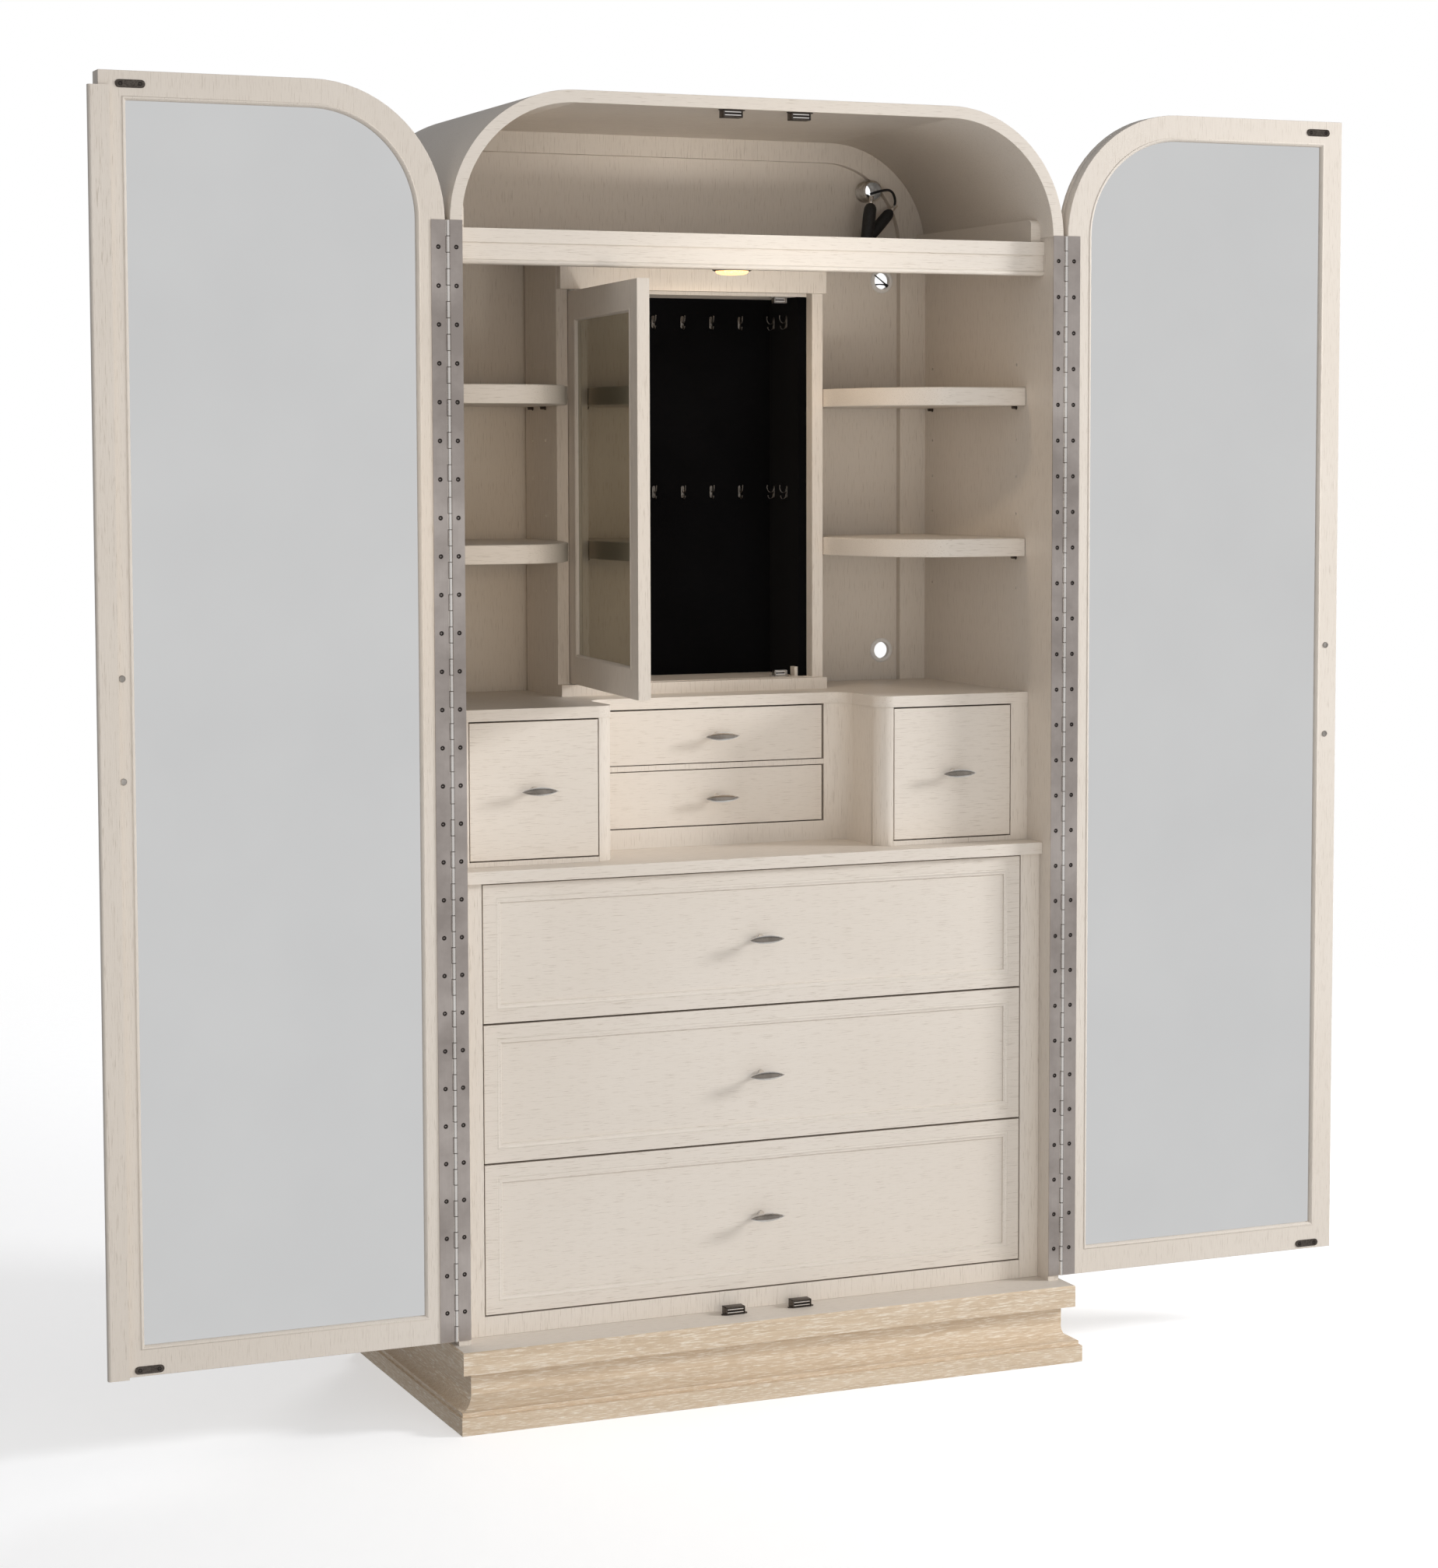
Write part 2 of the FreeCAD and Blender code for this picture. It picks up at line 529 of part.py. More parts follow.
def jewellery_door():
    """Drawn shut, between the cabinet's sides, then turned to its stored angle."""
    x1 = JEWEL_X - JEWEL_T - JEWEL_GAP
    x0 = -x1
    z0, z1 = JEWEL_BASE_Z + JEWEL_GAP, JEWEL_TOP_Z - 2
    y0, y1 = JEWEL_Y, JEWEL_Y + JEWEL_DOOR_T
    px, py = JEWEL_PIN
    pin_r, socket, border = 1.5, 12.0, 46.0
    light = (x0 + border, x1 - border, z0 + border, z1 - border)
    frame = box(x0, x1, y0, y1, z0, z1).cut(
        box(light[0], light[1], y0 - 1, y1 + 1, light[2], light[3]))
    for low in (z0 - 1, z1 - socket - 1):
        frame = frame.cut(rod((px, py, low), (px, py, low + socket + 2), pin_r + 0.05))
    backing = box(light[0], light[1], y0 + 10, y1 - 2, light[2], light[3])
    mirror = box(light[0], light[1], y0 + 6, y0 + 10, light[2], light[3])
    strikes = [box(160, 196, y1, y1 + 1.5, z, z + 12) for z in (z0 + 2, z1 - 14)]
    for name, shapes in (("jewel_door_frame", [frame, backing]), ("jewel_door_mirror", [mirror]),
                         ("jewel_door_fittings", strikes)):
        save(name, [spin(s, -JEWEL_OPEN, Vector(px, py, 0)) for s in shapes])
    bracket = box(px - 4, px + 6, JEWEL_Y - 7, py + 5, z1 + 0.5, JEWEL_TOP_Z + 1.5)
    save("jewel_door_pins", [rod((px, py, JEWEL_BASE_Z), (px, py, z0 + socket), pin_r),
                             bracket.fuse(rod((px, py, z1 - socket), (px, py, z1 + 1), pin_r))])


# ---- tall doors ---------------------------------------------------------------------
def hinge_leaf(x_far, first):
    """One leaf of the right-hand continuous hinge.  first is 0 or 1: which knuckles it carries."""
    side = 1 if x_far > PIN_X else -1
    edge = PIN_X + side * (KNUCKLE_R + 0.3)
    x0, x1 = sorted((x_far, edge))
    pitch = (HINGE_Z - HINGE_Z0) / KNUCKLES
    pieces = []
    for i in range(first, KNUCKLES, 2):
        z0 = HINGE_Z0 + i * pitch + (0.4 if i else 0.0)
        z1 = HINGE_Z0 + (i + 1) * pitch - (0.4 if i < KNUCKLES - 1 else 0.0)
        a, b = sorted((edge, PIN_X))
        pieces.append(box(a, b, -LEAF_T, 0, z0, z1))
        pieces.append(Part.makeCylinder(KNUCKLE_R, z1 - z0, Vector(PIN_X, PIN_Y, z0), Z_AXIS))
    leaf = box(x0, x1, -LEAF_T, 0, HINGE_Z0, HINGE_Z).multiFuse(pieces)
    bore = Part.makeCylinder(PIN_R + 0.05, HINGE_Z - HINGE_Z0 + 2,
                             Vector(PIN_X, PIN_Y, HINGE_Z0 - 1), Z_AXIS)
    return leaf.cut(bore).removeSplitter()


def hinges():
    cabinet = hinge_leaf(INNER_X, 0)
    door = hinge_leaf(LEAF_DOOR_X, 1)
    pin = Part.makeCylinder(PIN_R, HINGE_Z - HINGE_Z0, Vector(PIN_X, PIN_Y, HINGE_Z0), Z_AXIS)
    save("hinge_cabinet_leaves", pair(cabinet) + pair(pin))
    save("right_hinge_door_leaf", door)
    save("left_hinge_door_leaf", mirrored(door))


MIRROR_X0, MIRROR_X1 = DOOR_HINGE_X + 42, DOOR_FREE_X - 37
MIRROR_Z0, MIRROR_Z1, MIRROR_R = 179.5, 2076.0, 170.0
HANDLE_X = 1066.0
HANDLE_Z = (1052.0, 1208.0)
OUTER_T = 6.0


def tall_door(side):
    turn = mirrored if side == "left" else (lambda s: s)
    y1 = DOOR_FRAME_T
    slab = half_arch(DOOR_HINGE_X, DOOR_FREE_X, DOOR_Z0, TOP_Z, ARCH_R, 0, y1)
    light = half_arch(MIRROR_X0, MIRROR_X1, MIRROR_Z0, MIRROR_Z1, MIRROR_R, -1, y1 + 1)
    save(side + "_door_frame", turn(slab.cut(light)))
    save(side + "_door_mirror", turn(half_arch(MIRROR_X0, MIRROR_X1, MIRROR_Z0, MIRROR_Z1,
                                               MIRROR_R, 5, 9)))
    panel = half_arch(DOOR_HINGE_X, DOOR_FREE_X, DOOR_Z0, TOP_Z, ARCH_R, y1, y1 + OUTER_T)
    rim = half_arch(DOOR_HINGE_X, DOOR_FREE_X, DOOR_Z0, TOP_Z, ARCH_R, y1 + OUTER_T, DOOR_T)
    field = half_arch(DOOR_HINGE_X + 80, DOOR_FREE_X - 80, DOOR_Z0 + 90, TOP_Z - 80, ARCH_R - 80,
                      y1 + OUTER_T - 1, DOOR_T + 1)
    save(side + "_door_outer_panel", turn(panel.fuse(rim.cut(field)).removeSplitter()))
    low, high = HANDLE_Z
    grip_y = DOOR_T + 26
    handle = rod((HANDLE_X, grip_y, low - 22), (HANDLE_X, grip_y, high + 22), 6.0)
    for z in HANDLE_Z:
        handle = handle.fuse(rod((HANDLE_X, DOOR_T, z), (HANDLE_X, grip_y, z), 5.0))
    strikes = [box(1017, 1063, -1.5, 0, z - 6, z + 6) for z in (147.0, 2095.5)]
    save(side + "_door_hardware", [turn(s) for s in [handle.removeSplitter()] + strikes])


def meeting_strip():
    body = box(DOOR_FREE_X - 15.5, DOOR_FREE_X, -9.5, 0, DOOR_Z0 - 1, 2092)
    lip = box(DOOR_FREE_X, DOOR_FREE_X + 17, -9.5, -0.6, DOOR_Z0 - 1, 2092)
    strip = body.fuse(lip).removeSplitter()
    nose = [e for e in strip.Edges if abs(e.CenterOfMass.y + 9.5) < 0.01
            and e.Length > 1000 and e.CenterOfMass.x > DOOR_FREE_X]
    save("meeting_strip", mirrored(strip.makeFillet(4.0, nose)))


def door_catches():
    upper = box(37, 83, 4, 22, TOP_Z - BOARD - 13, TOP_Z - BOARD)
    lower = box(37, 83, 4, 22, SLAB_Z, SLAB_Z + 13)
    return pair(upper) + pair(lower)


# ---- the whole ----------------------------------------------------------------------
plinth()
coves()
slab()
carcass()
back()
face_frame()
save("drawer_guides", large_drawers() + hutch())
small_drawers()
shelves()
top_shelf()
light_leads()
save("catches", jewellery_cabinet() + door_catches())
jewellery_door()
hinges()
for door in ("left", "right"):
    tall_door(door)
meeting_strip()
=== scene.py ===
"""The looks of a mirrored armoire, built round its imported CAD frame.

Metres, in the frame's own axes: +Z up, the front faces -Y, the origin is on the floor at
the middle of the base.  Places come from the CAD nodes' boxes and from the joints.
"""

import json
import math

import bmesh
import bpy
from mathutils import Matrix, Vector

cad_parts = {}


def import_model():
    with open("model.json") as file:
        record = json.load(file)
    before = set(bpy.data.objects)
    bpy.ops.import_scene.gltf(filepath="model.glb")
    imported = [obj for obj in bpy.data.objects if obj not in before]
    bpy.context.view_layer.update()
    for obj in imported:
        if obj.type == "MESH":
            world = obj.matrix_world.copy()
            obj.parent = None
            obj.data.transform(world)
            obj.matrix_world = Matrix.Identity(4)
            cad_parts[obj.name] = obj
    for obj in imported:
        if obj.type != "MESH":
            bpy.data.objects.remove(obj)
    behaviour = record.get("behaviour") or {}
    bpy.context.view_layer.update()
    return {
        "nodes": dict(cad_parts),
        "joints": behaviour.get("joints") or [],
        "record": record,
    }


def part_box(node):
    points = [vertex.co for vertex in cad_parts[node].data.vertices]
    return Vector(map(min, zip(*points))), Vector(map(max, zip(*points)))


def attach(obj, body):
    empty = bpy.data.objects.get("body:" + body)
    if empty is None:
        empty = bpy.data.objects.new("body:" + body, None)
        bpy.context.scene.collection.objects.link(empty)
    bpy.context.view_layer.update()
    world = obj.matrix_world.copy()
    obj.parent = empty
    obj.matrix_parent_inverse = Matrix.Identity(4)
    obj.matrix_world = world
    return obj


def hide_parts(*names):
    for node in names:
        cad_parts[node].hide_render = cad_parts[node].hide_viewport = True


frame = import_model()

MM = 0.001
NODES = frame["nodes"]
PINS = {j["name"]: Vector(j["pos_m"]) for j in frame["joints"] if "pos_m" in j}
X, Y, Z = Vector((1, 0, 0)), Vector((0, 1, 0)), Vector((0, 0, 1))
TAU = 2 * math.pi


# ---- node helpers ----
def blank(name):
    """A new material, its node tree and its main shader."""
    mat = bpy.data.materials.new(name)
    mat.use_nodes = True
    return mat, mat.node_tree, mat.node_tree.nodes["Principled BSDF"]


def link_or_set(tree, socket, value):
    if isinstance(value, bpy.types.NodeSocket):
        tree.links.new(value, socket)
    else:
        socket.default_value = value


def add(tree, kind, links=None, settings=None, **sockets):
    """A node with its settings, socket values and links set.  Socket names use _ for a space."""
    node = tree.nodes.new("ShaderNode" + kind)
    for key, value in (settings or {}).items():
        setattr(node, key, value)
    for key, value in sockets.items():
        node.inputs[key.replace("_", " ")].default_value = value
    for key, source in (links or {}).items():
        tree.links.new(source, node.inputs[key])
    return node


def ramp(tree, factor, *stops):
    """A colour ramp through (position, colour) stops."""
    node = add(tree, "ValToRGB", {"Fac": factor})
    elements = node.color_ramp.elements
    while len(elements) < len(stops):
        elements.new(0.5)
    for element, (position, colour) in zip(elements, stops):
        element.position = position
        element.color = (*colour, 1)
    return node.outputs["Color"]


def mask(tree, factor, low, high, top=1.0):
    """Black up to low, then rising to a grey of top at high."""
    return ramp(tree, factor, (low, (0, 0, 0)), (high, (top, top, top)))


def mixed(tree, factor, first, second):
    """Two colours mixed.  factor and the colours are sockets or values."""
    node = tree.nodes.new("ShaderNodeMix")
    node.data_type = "RGBA"
    for index, source in ((0, factor), (6, first), (7, second)):
        constant = not isinstance(source, bpy.types.NodeSocket)
        link_or_set(tree, node.inputs[index], (*source, 1) if constant and index else source)
    return node.outputs[2]


def maths(tree, operation, *values):
    """A sum done on sockets or values."""
    node = add(tree, "Math", settings={"operation": operation})
    for socket, value in zip(node.inputs, values):
        link_or_set(tree, socket, value)
    return node.outputs[0]


def where(tree, kind="Object"):
    """A texture coordinate: Object is the place in the frame."""
    return add(tree, "TexCoord").outputs[kind]


def stretched_noise(tree, axis, along, across, detail, rough=0.55, distortion=0.0):
    """Noise drawn out along one axis of the frame: low frequency along it, high across."""
    scale = [across] * 3
    scale["XYZ".index(axis)] = along
    place = add(tree, "Mapping", {"Vector": where(tree)}, Scale=scale)
    noise = add(tree, "TexNoise", {"Vector": place.outputs[0]}, Scale=1.0, Detail=detail,
                Roughness=rough, Distortion=distortion)
    return noise.outputs["Fac"]


def plain_noise(tree, scale, detail=3.0, rough=0.5):
    noise = add(tree, "TexNoise", {"Vector": where(tree)}, Scale=scale, Detail=detail,
                Roughness=rough)
    return noise.outputs["Fac"]


def surface(tree, shader, **sockets):
    """Links a shader's sockets to other sockets, or sets them to values.  _ stands for a space."""
    for key, value in sockets.items():
        link_or_set(tree, shader.inputs[key.replace("_", " ")], value)


def roughened(tree, shader, factor, low, high):
    """Roughness that follows a texture."""
    spread = add(tree, "MapRange", {"Value": factor}, To_Min=low, To_Max=high)
    surface(tree, shader, Roughness=spread.outputs[0])


def bumped(tree, shader, height, strength, distance):
    """Gives a shader a bump.  distance is the depth of it in metres."""
    bump = add(tree, "Bump", {"Height": height}, Strength=strength, Distance=distance)
    surface(tree, shader, Normal=bump.outputs[0])


# ---- wood ----
PAINT, PAINT_WARM, PAINT_PORE = (0.77, 0.708, 0.635), (0.735, 0.668, 0.59), (0.46, 0.39, 0.315)
LIMED, LIMED_DARK, LIME = (0.74, 0.595, 0.435), (0.63, 0.485, 0.335), (0.92, 0.84, 0.72)
SLAB_TOP = 0.127       # the base slab's top is above this height, and it is painted


def paint_colour(tree, axis):
    """Off-white paint thin enough for the oak's fibres and open pores to show through it."""
    clouds = plain_noise(tree, 2.2, 4.0)
    fibres = stretched_noise(tree, axis, 7.0, 190.0, 6.0, 0.6, 0.4)
    pores = stretched_noise(tree, axis, 34.0, 900.0, 3.0, 0.6)
    tone = mixed(tree, mask(tree, clouds, 0.36, 0.66), PAINT, PAINT_WARM)
    tone = mixed(tree, mask(tree, fibres, 0.40, 0.72, 0.42), tone, PAINT_WARM)
    return mixed(tree, mask(tree, pores, 0.57, 0.69, 0.62), tone, PAINT_PORE), fibres, pores


def painted(axis):
    """Satin paint on oak whose grain runs along one axis."""
    mat, tree, shader = blank("painted_oak_" + axis.lower())
    colour, fibres, pores = paint_colour(tree, axis)
    surface(tree, shader, Base_Color=colour, Coat_Weight=0.12, Coat_Roughness=0.35)
    roughened(tree, shader, fibres, 0.34, 0.50)
    height = maths(tree, "SUBTRACT", maths(tree, "MULTIPLY", fibres, 0.5), pores)
    bumped(tree, shader, height, 0.28, 0.0006)
    return mat


def limed_colour(tree, axis):
    """Beige oak with white lime left in its pores."""
    fibres = stretched_noise(tree, axis, 6.0, 120.0, 6.0, 0.6, 0.6)
    flecks = stretched_noise(tree, axis, 48.0, 620.0, 3.0, 0.6, 0.2)
    tone = mixed(tree, mask(tree, fibres, 0.34, 0.68), LIMED, LIMED_DARK)
    return mixed(tree, mask(tree, flecks, 0.50, 0.66, 0.85), tone, LIME), flecks


def limed():
    """Grain runs along the front mouldings and back along the side ones; tops are painted."""
    mat, tree, shader = blank("limed_oak")
    normal = add(tree, "SeparateXYZ", {"Vector": where(tree, "Normal")}).outputs
    sideways = maths(tree, "GREATER_THAN", maths(tree, "ABSOLUTE", normal["X"]), 0.72)
    upward = maths(tree, "GREATER_THAN", normal["Z"], 0.92)
    high = add(tree, "SeparateXYZ", {"Vector": where(tree)}).outputs["Z"]
    slab_top = maths(tree, "MULTIPLY", upward, maths(tree, "GREATER_THAN", high, SLAB_TOP))
    front, front_flecks = limed_colour(tree, "X")
    side, side_flecks = limed_colour(tree, "Y")
    colour = mixed(tree, sideways, front, side)
    colour = mixed(tree, slab_top, colour, paint_colour(tree, "X")[0])
    surface(tree, shader, Base_Color=colour, Roughness=0.5)
    bumped(tree, shader, maths(tree, "ADD", front_flecks, side_flecks), 0.35, 0.0007)
    return mat


def raw_wood():
    """Clear-finished maple for the insides of the drawers."""
    mat, tree, shader = blank("drawer_maple")
    fibres = stretched_noise(tree, "X", 5.0, 90.0, 6.0, 0.6, 0.8)
    tone = ramp(tree, fibres, (0.30, (0.56, 0.40, 0.24)), (0.50, (0.68, 0.52, 0.34)),
                (0.72, (0.75, 0.60, 0.42)))
    surface(tree, shader, Base_Color=tone, Roughness=0.42)
    bumped(tree, shader, fibres, 0.2, 0.0005)
    return mat


# ---- metal, glass, cloth and plastic ----
def brushed(name, light, dark, axis, roughness, blotch=7.0):
    """Brushed metal: fine lines along one axis, and cloudy patches of a darker tone."""
    mat, tree, shader = blank(name)
    lines = stretched_noise(tree, axis, 12.0, 1500.0, 4.0, 0.7)
    patches = plain_noise(tree, blotch, 5.0, 0.62)
    colour = mixed(tree, mask(tree, patches, 0.36, 0.64), light, dark)
    colour = mixed(tree, mask(tree, lines, 0.35, 0.75, 0.35), colour, dark)
    surface(tree, shader, Base_Color=colour, Metallic=1.0)
    roughened(tree, shader, patches, roughness - 0.08, roughness + 0.1)
    bumped(tree, shader, lines, 0.12, 0.0002)
    return mat


def silvered(name, dull, clear):
    """A mirror with a faint haze, from one tint to another."""
    mat, tree, shader = blank(name)
    haze = plain_noise(tree, 5.0, 4.0)
    surface(tree, shader, Base_Color=ramp(tree, haze, (0.3, dull), (0.7, clear)), Metallic=1.0)
    roughened(tree, shader, haze, 0.012, 0.03)
    return mat


def velvet():
    """Black velvet that hardly catches the light."""
    mat, tree, shader = blank("black_velvet")
    nap = plain_noise(tree, 900.0, 2.0, 0.7)
    folds = plain_noise(tree, 6.0, 3.0)
    tone = ramp(tree, folds, (0.3, (0.0012, 0.0012, 0.0014)), (0.7, (0.0028, 0.0028, 0.0033)))
    colour = mixed(tree, mask(tree, nap, 0.55, 0.8, 0.4), tone, (0.008, 0.008, 0.009))
    surface(tree, shader, Base_Color=colour, Roughness=0.95, Sheen_Weight=0.02,
            Sheen_Roughness=0.5, Specular_IOR_Level=0.1)
    bumped(tree, shader, nap, 0.6, 0.0006)
    return mat


def moulded(name, light, dark, roughness, grain=260.0, metallic=0.0):
    """Moulded plastic, rubber or cast metal: a fine mottled skin."""
    mat, tree, shader = blank(name)
    skin = plain_noise(tree, grain, 3.0, 0.6)
    tone = ramp(tree, skin, (0.35, dark), (0.65, light))
    surface(tree, shader, Base_Color=tone, Metallic=metallic)
    roughened(tree, shader, skin, roughness - 0.06, roughness + 0.08)
    bumped(tree, shader, skin, 0.25, 0.0002)
    return mat


def glowing():
    """The lamp's faceted lens, lit."""
    mat, tree, shader = blank("lamp_lens")
    facets = plain_noise(tree, 300.0, 2.0)
    warm = ramp(tree, facets, (0.3, (1.0, 0.50, 0.20)), (0.7, (1.0, 0.66, 0.34)))
    surface(tree, shader, Base_Color=warm, Emission_Color=warm, Emission_Strength=1.6,
            Roughness=0.3)
    bumped(tree, shader, facets, 0.4, 0.0005)
    return mat


PAINTED = {axis: painted(axis) for axis in "XYZ"}
LIMED_OAK = limed()
MAPLE = raw_wood()
HINGE_STEEL = brushed("hinge_steel", (0.66, 0.60, 0.56), (0.45, 0.40, 0.37), "Z", 0.44)
# A lighter copy of the hinge steel: painted highlight on the knuckles; also used for the catches'
# bars, the sleeve collars and the springs
KNUCKLE_STEEL_PAINTED_HIGHLIGHT = brushed("knuckle_steel_painted_highlight", (0.97, 0.94, 0.90), (0.80, 0.76, 0.72), "Z", 0.24)
NICKEL = brushed("satin_nickel", (0.66, 0.62, 0.575), (0.40, 0.37, 0.335), "X", 0.30, 60.0)
PULL_NICKEL = brushed("pull_nickel", (0.90, 0.87, 0.83), (0.72, 0.68, 0.63), "X", 0.20, 40.0)
# A darker copy of the pull nickel for the pulls' dished faces: painted shade in the hollow
DISH_NICKEL_PAINTED_SHADE = brushed("dish_nickel_painted_shade", (0.40, 0.355, 0.31), (0.26, 0.23, 0.20), "X", 0.24, 40.0)
DARK_NICKEL = brushed("dark_nickel", (0.30, 0.27, 0.24), (0.14, 0.125, 0.11), "Z", 0.28, 200.0)
CONDUIT_STEEL = brushed("conduit_steel", (0.72, 0.68, 0.62), (0.45, 0.41, 0.36), "Y", 0.42, 90.0)
SLIDE_STEEL = brushed("slide_steel", (0.66, 0.67, 0.68), (0.48, 0.49, 0.50), "Y", 0.32)
BRONZE = moulded("dark_bronze", (0.145, 0.125, 0.108), (0.075, 0.062, 0.052), 0.42, 420.0, 0.85)
SCREW_DARK = moulded("blackened_screw", (0.050, 0.040, 0.035), (0.018, 0.014, 0.012), 0.38,
                     900.0, 0.7)
MIRROR = silvered("silvered_glass", (0.86, 0.87, 0.872), (0.89, 0.90, 0.90))
# A darker, greener mirror for the jewellery door: painted dark reflection of the shaded bay it
# faces
DARK_MIRROR_PAINTED_REFLECTION = silvered("mirror_painted_dark_reflection", (0.36, 0.345, 0.27), (0.40, 0.385, 0.31))
VELVET = velvet()
RUBBER = moulded("black_rubber", (0.022, 0.022, 0.023), (0.010, 0.010, 0.011), 0.55)
WHITE_PLASTIC = moulded("white_plastic", (0.88, 0.87, 0.85), (0.83, 0.82, 0.80), 0.5)
LAMP_GLOW = glowing()

GRAIN_ALONG_X = ("_top", "_shelf", "_shelves", "_drawer", "_front")      # endings of node names
FINISHES = {"painted_oak": PAINTED["Z"], "base_oak": LIMED_OAK, "drawer_wood": MAPLE,
            "mirror_glass": MIRROR, "satin_nickel": NICKEL, "dark_bronze": BRONZE,
            "slide_steel": SLIDE_STEEL, "black_velvet": VELVET, "lamp_plastic": WHITE_PLASTIC,
            "grommet_plastic": WHITE_PLASTIC, "black_rubber": RUBBER}


def finish_cad_nodes():
    """Each CAD node takes the material of its slot; wooden ones get softly rounded edges.

    The back panel keeps sharp edges, since a bevel creases its shading round the holes.
    """
    slots = {part["node"]: part["material_slot"] for part in frame["record"]["subparts"]}
    # the jewellery door's mirror takes the darker mirror, a painted dark reflection
    special = {"jewel_door_mirror": DARK_MIRROR_PAINTED_REFLECTION, "drawer_guides": PAINTED["Y"]}
    for name, node in NODES.items():
        slot = slots[name]
        own = PAINTED["X"] if name.endswith(GRAIN_ALONG_X) else FINISHES[slot]
        mat = special.get(name, own)
        if not node.data.materials:
            node.data.materials.append(mat)
        for index in range(len(node.data.materials)):
            node.data.materials[index] = mat
        if slot in ("painted_oak", "base_oak", "drawer_wood") and name != "back_panel":
            weld = node.modifiers.new("weld", "WELD")
            weld.merge_threshold = 0.01 * MM
            bevel = node.modifiers.new("eased_edges", "BEVEL")
            bevel.width = 0.8 * MM
            bevel.segments = 2
            bevel.angle_limit = math.radians(50)
            bevel.harden_normals = True


finish_cad_nodes()


# ---- mesh helpers ----
SCREW_GRID = (-1, -0.68, -0.58, -0.20, -0.11, 0.11, 0.20, 0.58, 0.68, 1)


def span(node):
    """The lowest and highest corner of a CAD node."""
    low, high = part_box(node)
    return Vector(low), Vector(high)


def in_mm(points):
    """Points in metres, from points in millimetres."""
    return [[c * MM for c in point] for point in points]


def new_object(name, data):
    obj = bpy.data.objects.new(name, data)
    bpy.context.scene.collection.objects.link(obj)
    return obj


def islands(node):
    """The lowest and highest corner of each separate solid in a CAD node, in a steady order."""
    bm = bmesh.new()
    bm.from_mesh(NODES[node].data)
    bmesh.ops.remove_doubles(bm, verts=bm.verts, dist=1e-6)
    seen, found = set(), []
    for start in bm.verts:
        if start in seen:
            continue
        seen.add(start)
        queue, places = [start], []
        while queue:
            vert = queue.pop()
            places.append(vert.co.copy())
            for edge in vert.link_edges:
                other = edge.other_vert(vert)
                if other not in seen:
                    seen.add(other)
                    queue.append(other)
        found.append([Vector([pick(p[i] for p in places) for i in range(3)])
                      for pick in (min, max)])
    bm.free()
    return sorted(found, key=lambda ends: [round(c, 4) for c in (*ends[0], *ends[1])])


def finish_piece(bm, name, body, materials, replaced=(), sharp=35):
    """Turns mesh work into a smooth-shaded piece that rides on a body."""
    bmesh.ops.recalc_face_normals(bm, faces=bm.faces)
    for face in bm.faces:
        face.smooth = True
    mesh = bpy.data.meshes.new(name)
    bm.to_mesh(mesh)
    bm.free()
    mesh.set_sharp_from_angle(angle=math.radians(sharp))
    for mat in materials:
        mesh.materials.append(mat)
    obj = new_object(name, mesh)
    if replaced:
        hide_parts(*replaced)
    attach(obj, body)


def facing(at, normal, up=Z):
    """A place whose local Z points along normal and whose local Y is as near to up as it can be."""
    normal = Vector(normal).normalized()
    side = Vector(up).cross(normal).normalized()
    turn = Matrix((side, normal.cross(side), normal)).transposed().to_4x4()
    return Matrix.Translation(at) @ turn


def add_box(bm, low, high, mat=0, ease=0.0):
    """A box whose edges are rounded by ease."""
    low, high = Vector(low), Vector(high)
    made = bmesh.ops.create_cube(bm, size=1.0, matrix=Matrix.Translation((low + high) / 2)
                                 @ Matrix.Diagonal((*(high - low), 1)))["verts"]
    if ease:
        edges = list({e for v in made for e in v.link_edges})
        made = bmesh.ops.bevel(bm, geom=edges, offset=ease, segments=2, profile=0.5,
                               affect="EDGES")["verts"]
    for face in {f for v in made for f in v.link_faces}:
        face.material_index = mat


def join_rings(bm, rings, mat, caps=True):
    """Skins a row of rings of one length; a ring of one vertex is a point."""
    for first, second in zip(rings, rings[1:]):
        count = max(len(first), len(second))
        for i in range(count):
            j = (i + 1) % count
            corners = [first[i % len(first)], first[j % len(first)],
                       second[j % len(second)], second[i % len(second)]]
            bm.faces.new(list(dict.fromkeys(corners))).material_index = mat
    if caps:
        for ring in (rings[0], rings[-1]):
            if len(ring) > 2:
                bm.faces.new(ring).material_index = mat


def add_ring(bm, place, outline, height):
    """Vertices on an (across, up) outline, at a height along the local Z of a place."""
    return [bm.verts.new(place @ Vector((u, v, height))) for u, v in outline]


def circle(radius, sides):
    """A round outline; a radius of 0 is one point."""
    return [(radius * math.cos(TAU * i / sides), radius * math.sin(TAU * i / sides))
            for i in range(sides if radius > 1e-7 else 1)]


def add_lathe(bm, profile, place, mat=0, sides=20):
    """Turns a profile of (radius, height) about the local Z of a place."""
    rings = [add_ring(bm, place, circle(radius, sides), height) for radius, height in profile]
    closed = profile[0] == profile[-1]
    if closed:
        for vert in rings.pop():
            bm.verts.remove(vert)
        rings.append(rings[0])
    join_rings(bm, rings, mat, caps=not closed)


def add_tube(bm, points, radius, mat=0, sides=10):
    """A round bar along points.  radius is one number, or one for each point."""
    points = [Vector(p) for p in points]
    radii = radius if isinstance(radius, (list, tuple)) else [radius] * len(points)
    rings, side = [], None
    for i, (point, size) in enumerate(zip(points, radii)):
        ahead = (points[min(i + 1, len(points) - 1)] - points[max(i - 1, 0)]).normalized()
        side = side or ahead.orthogonal()
        side = (side - ahead * side.dot(ahead)).normalized()
        other = ahead.cross(side)
        rings.append([bm.verts.new(point + (side * math.cos(TAU * k / sides)
                                            + other * math.sin(TAU * k / sides)) * size)
                      for k in range(sides)])
    join_rings(bm, rings, mat)


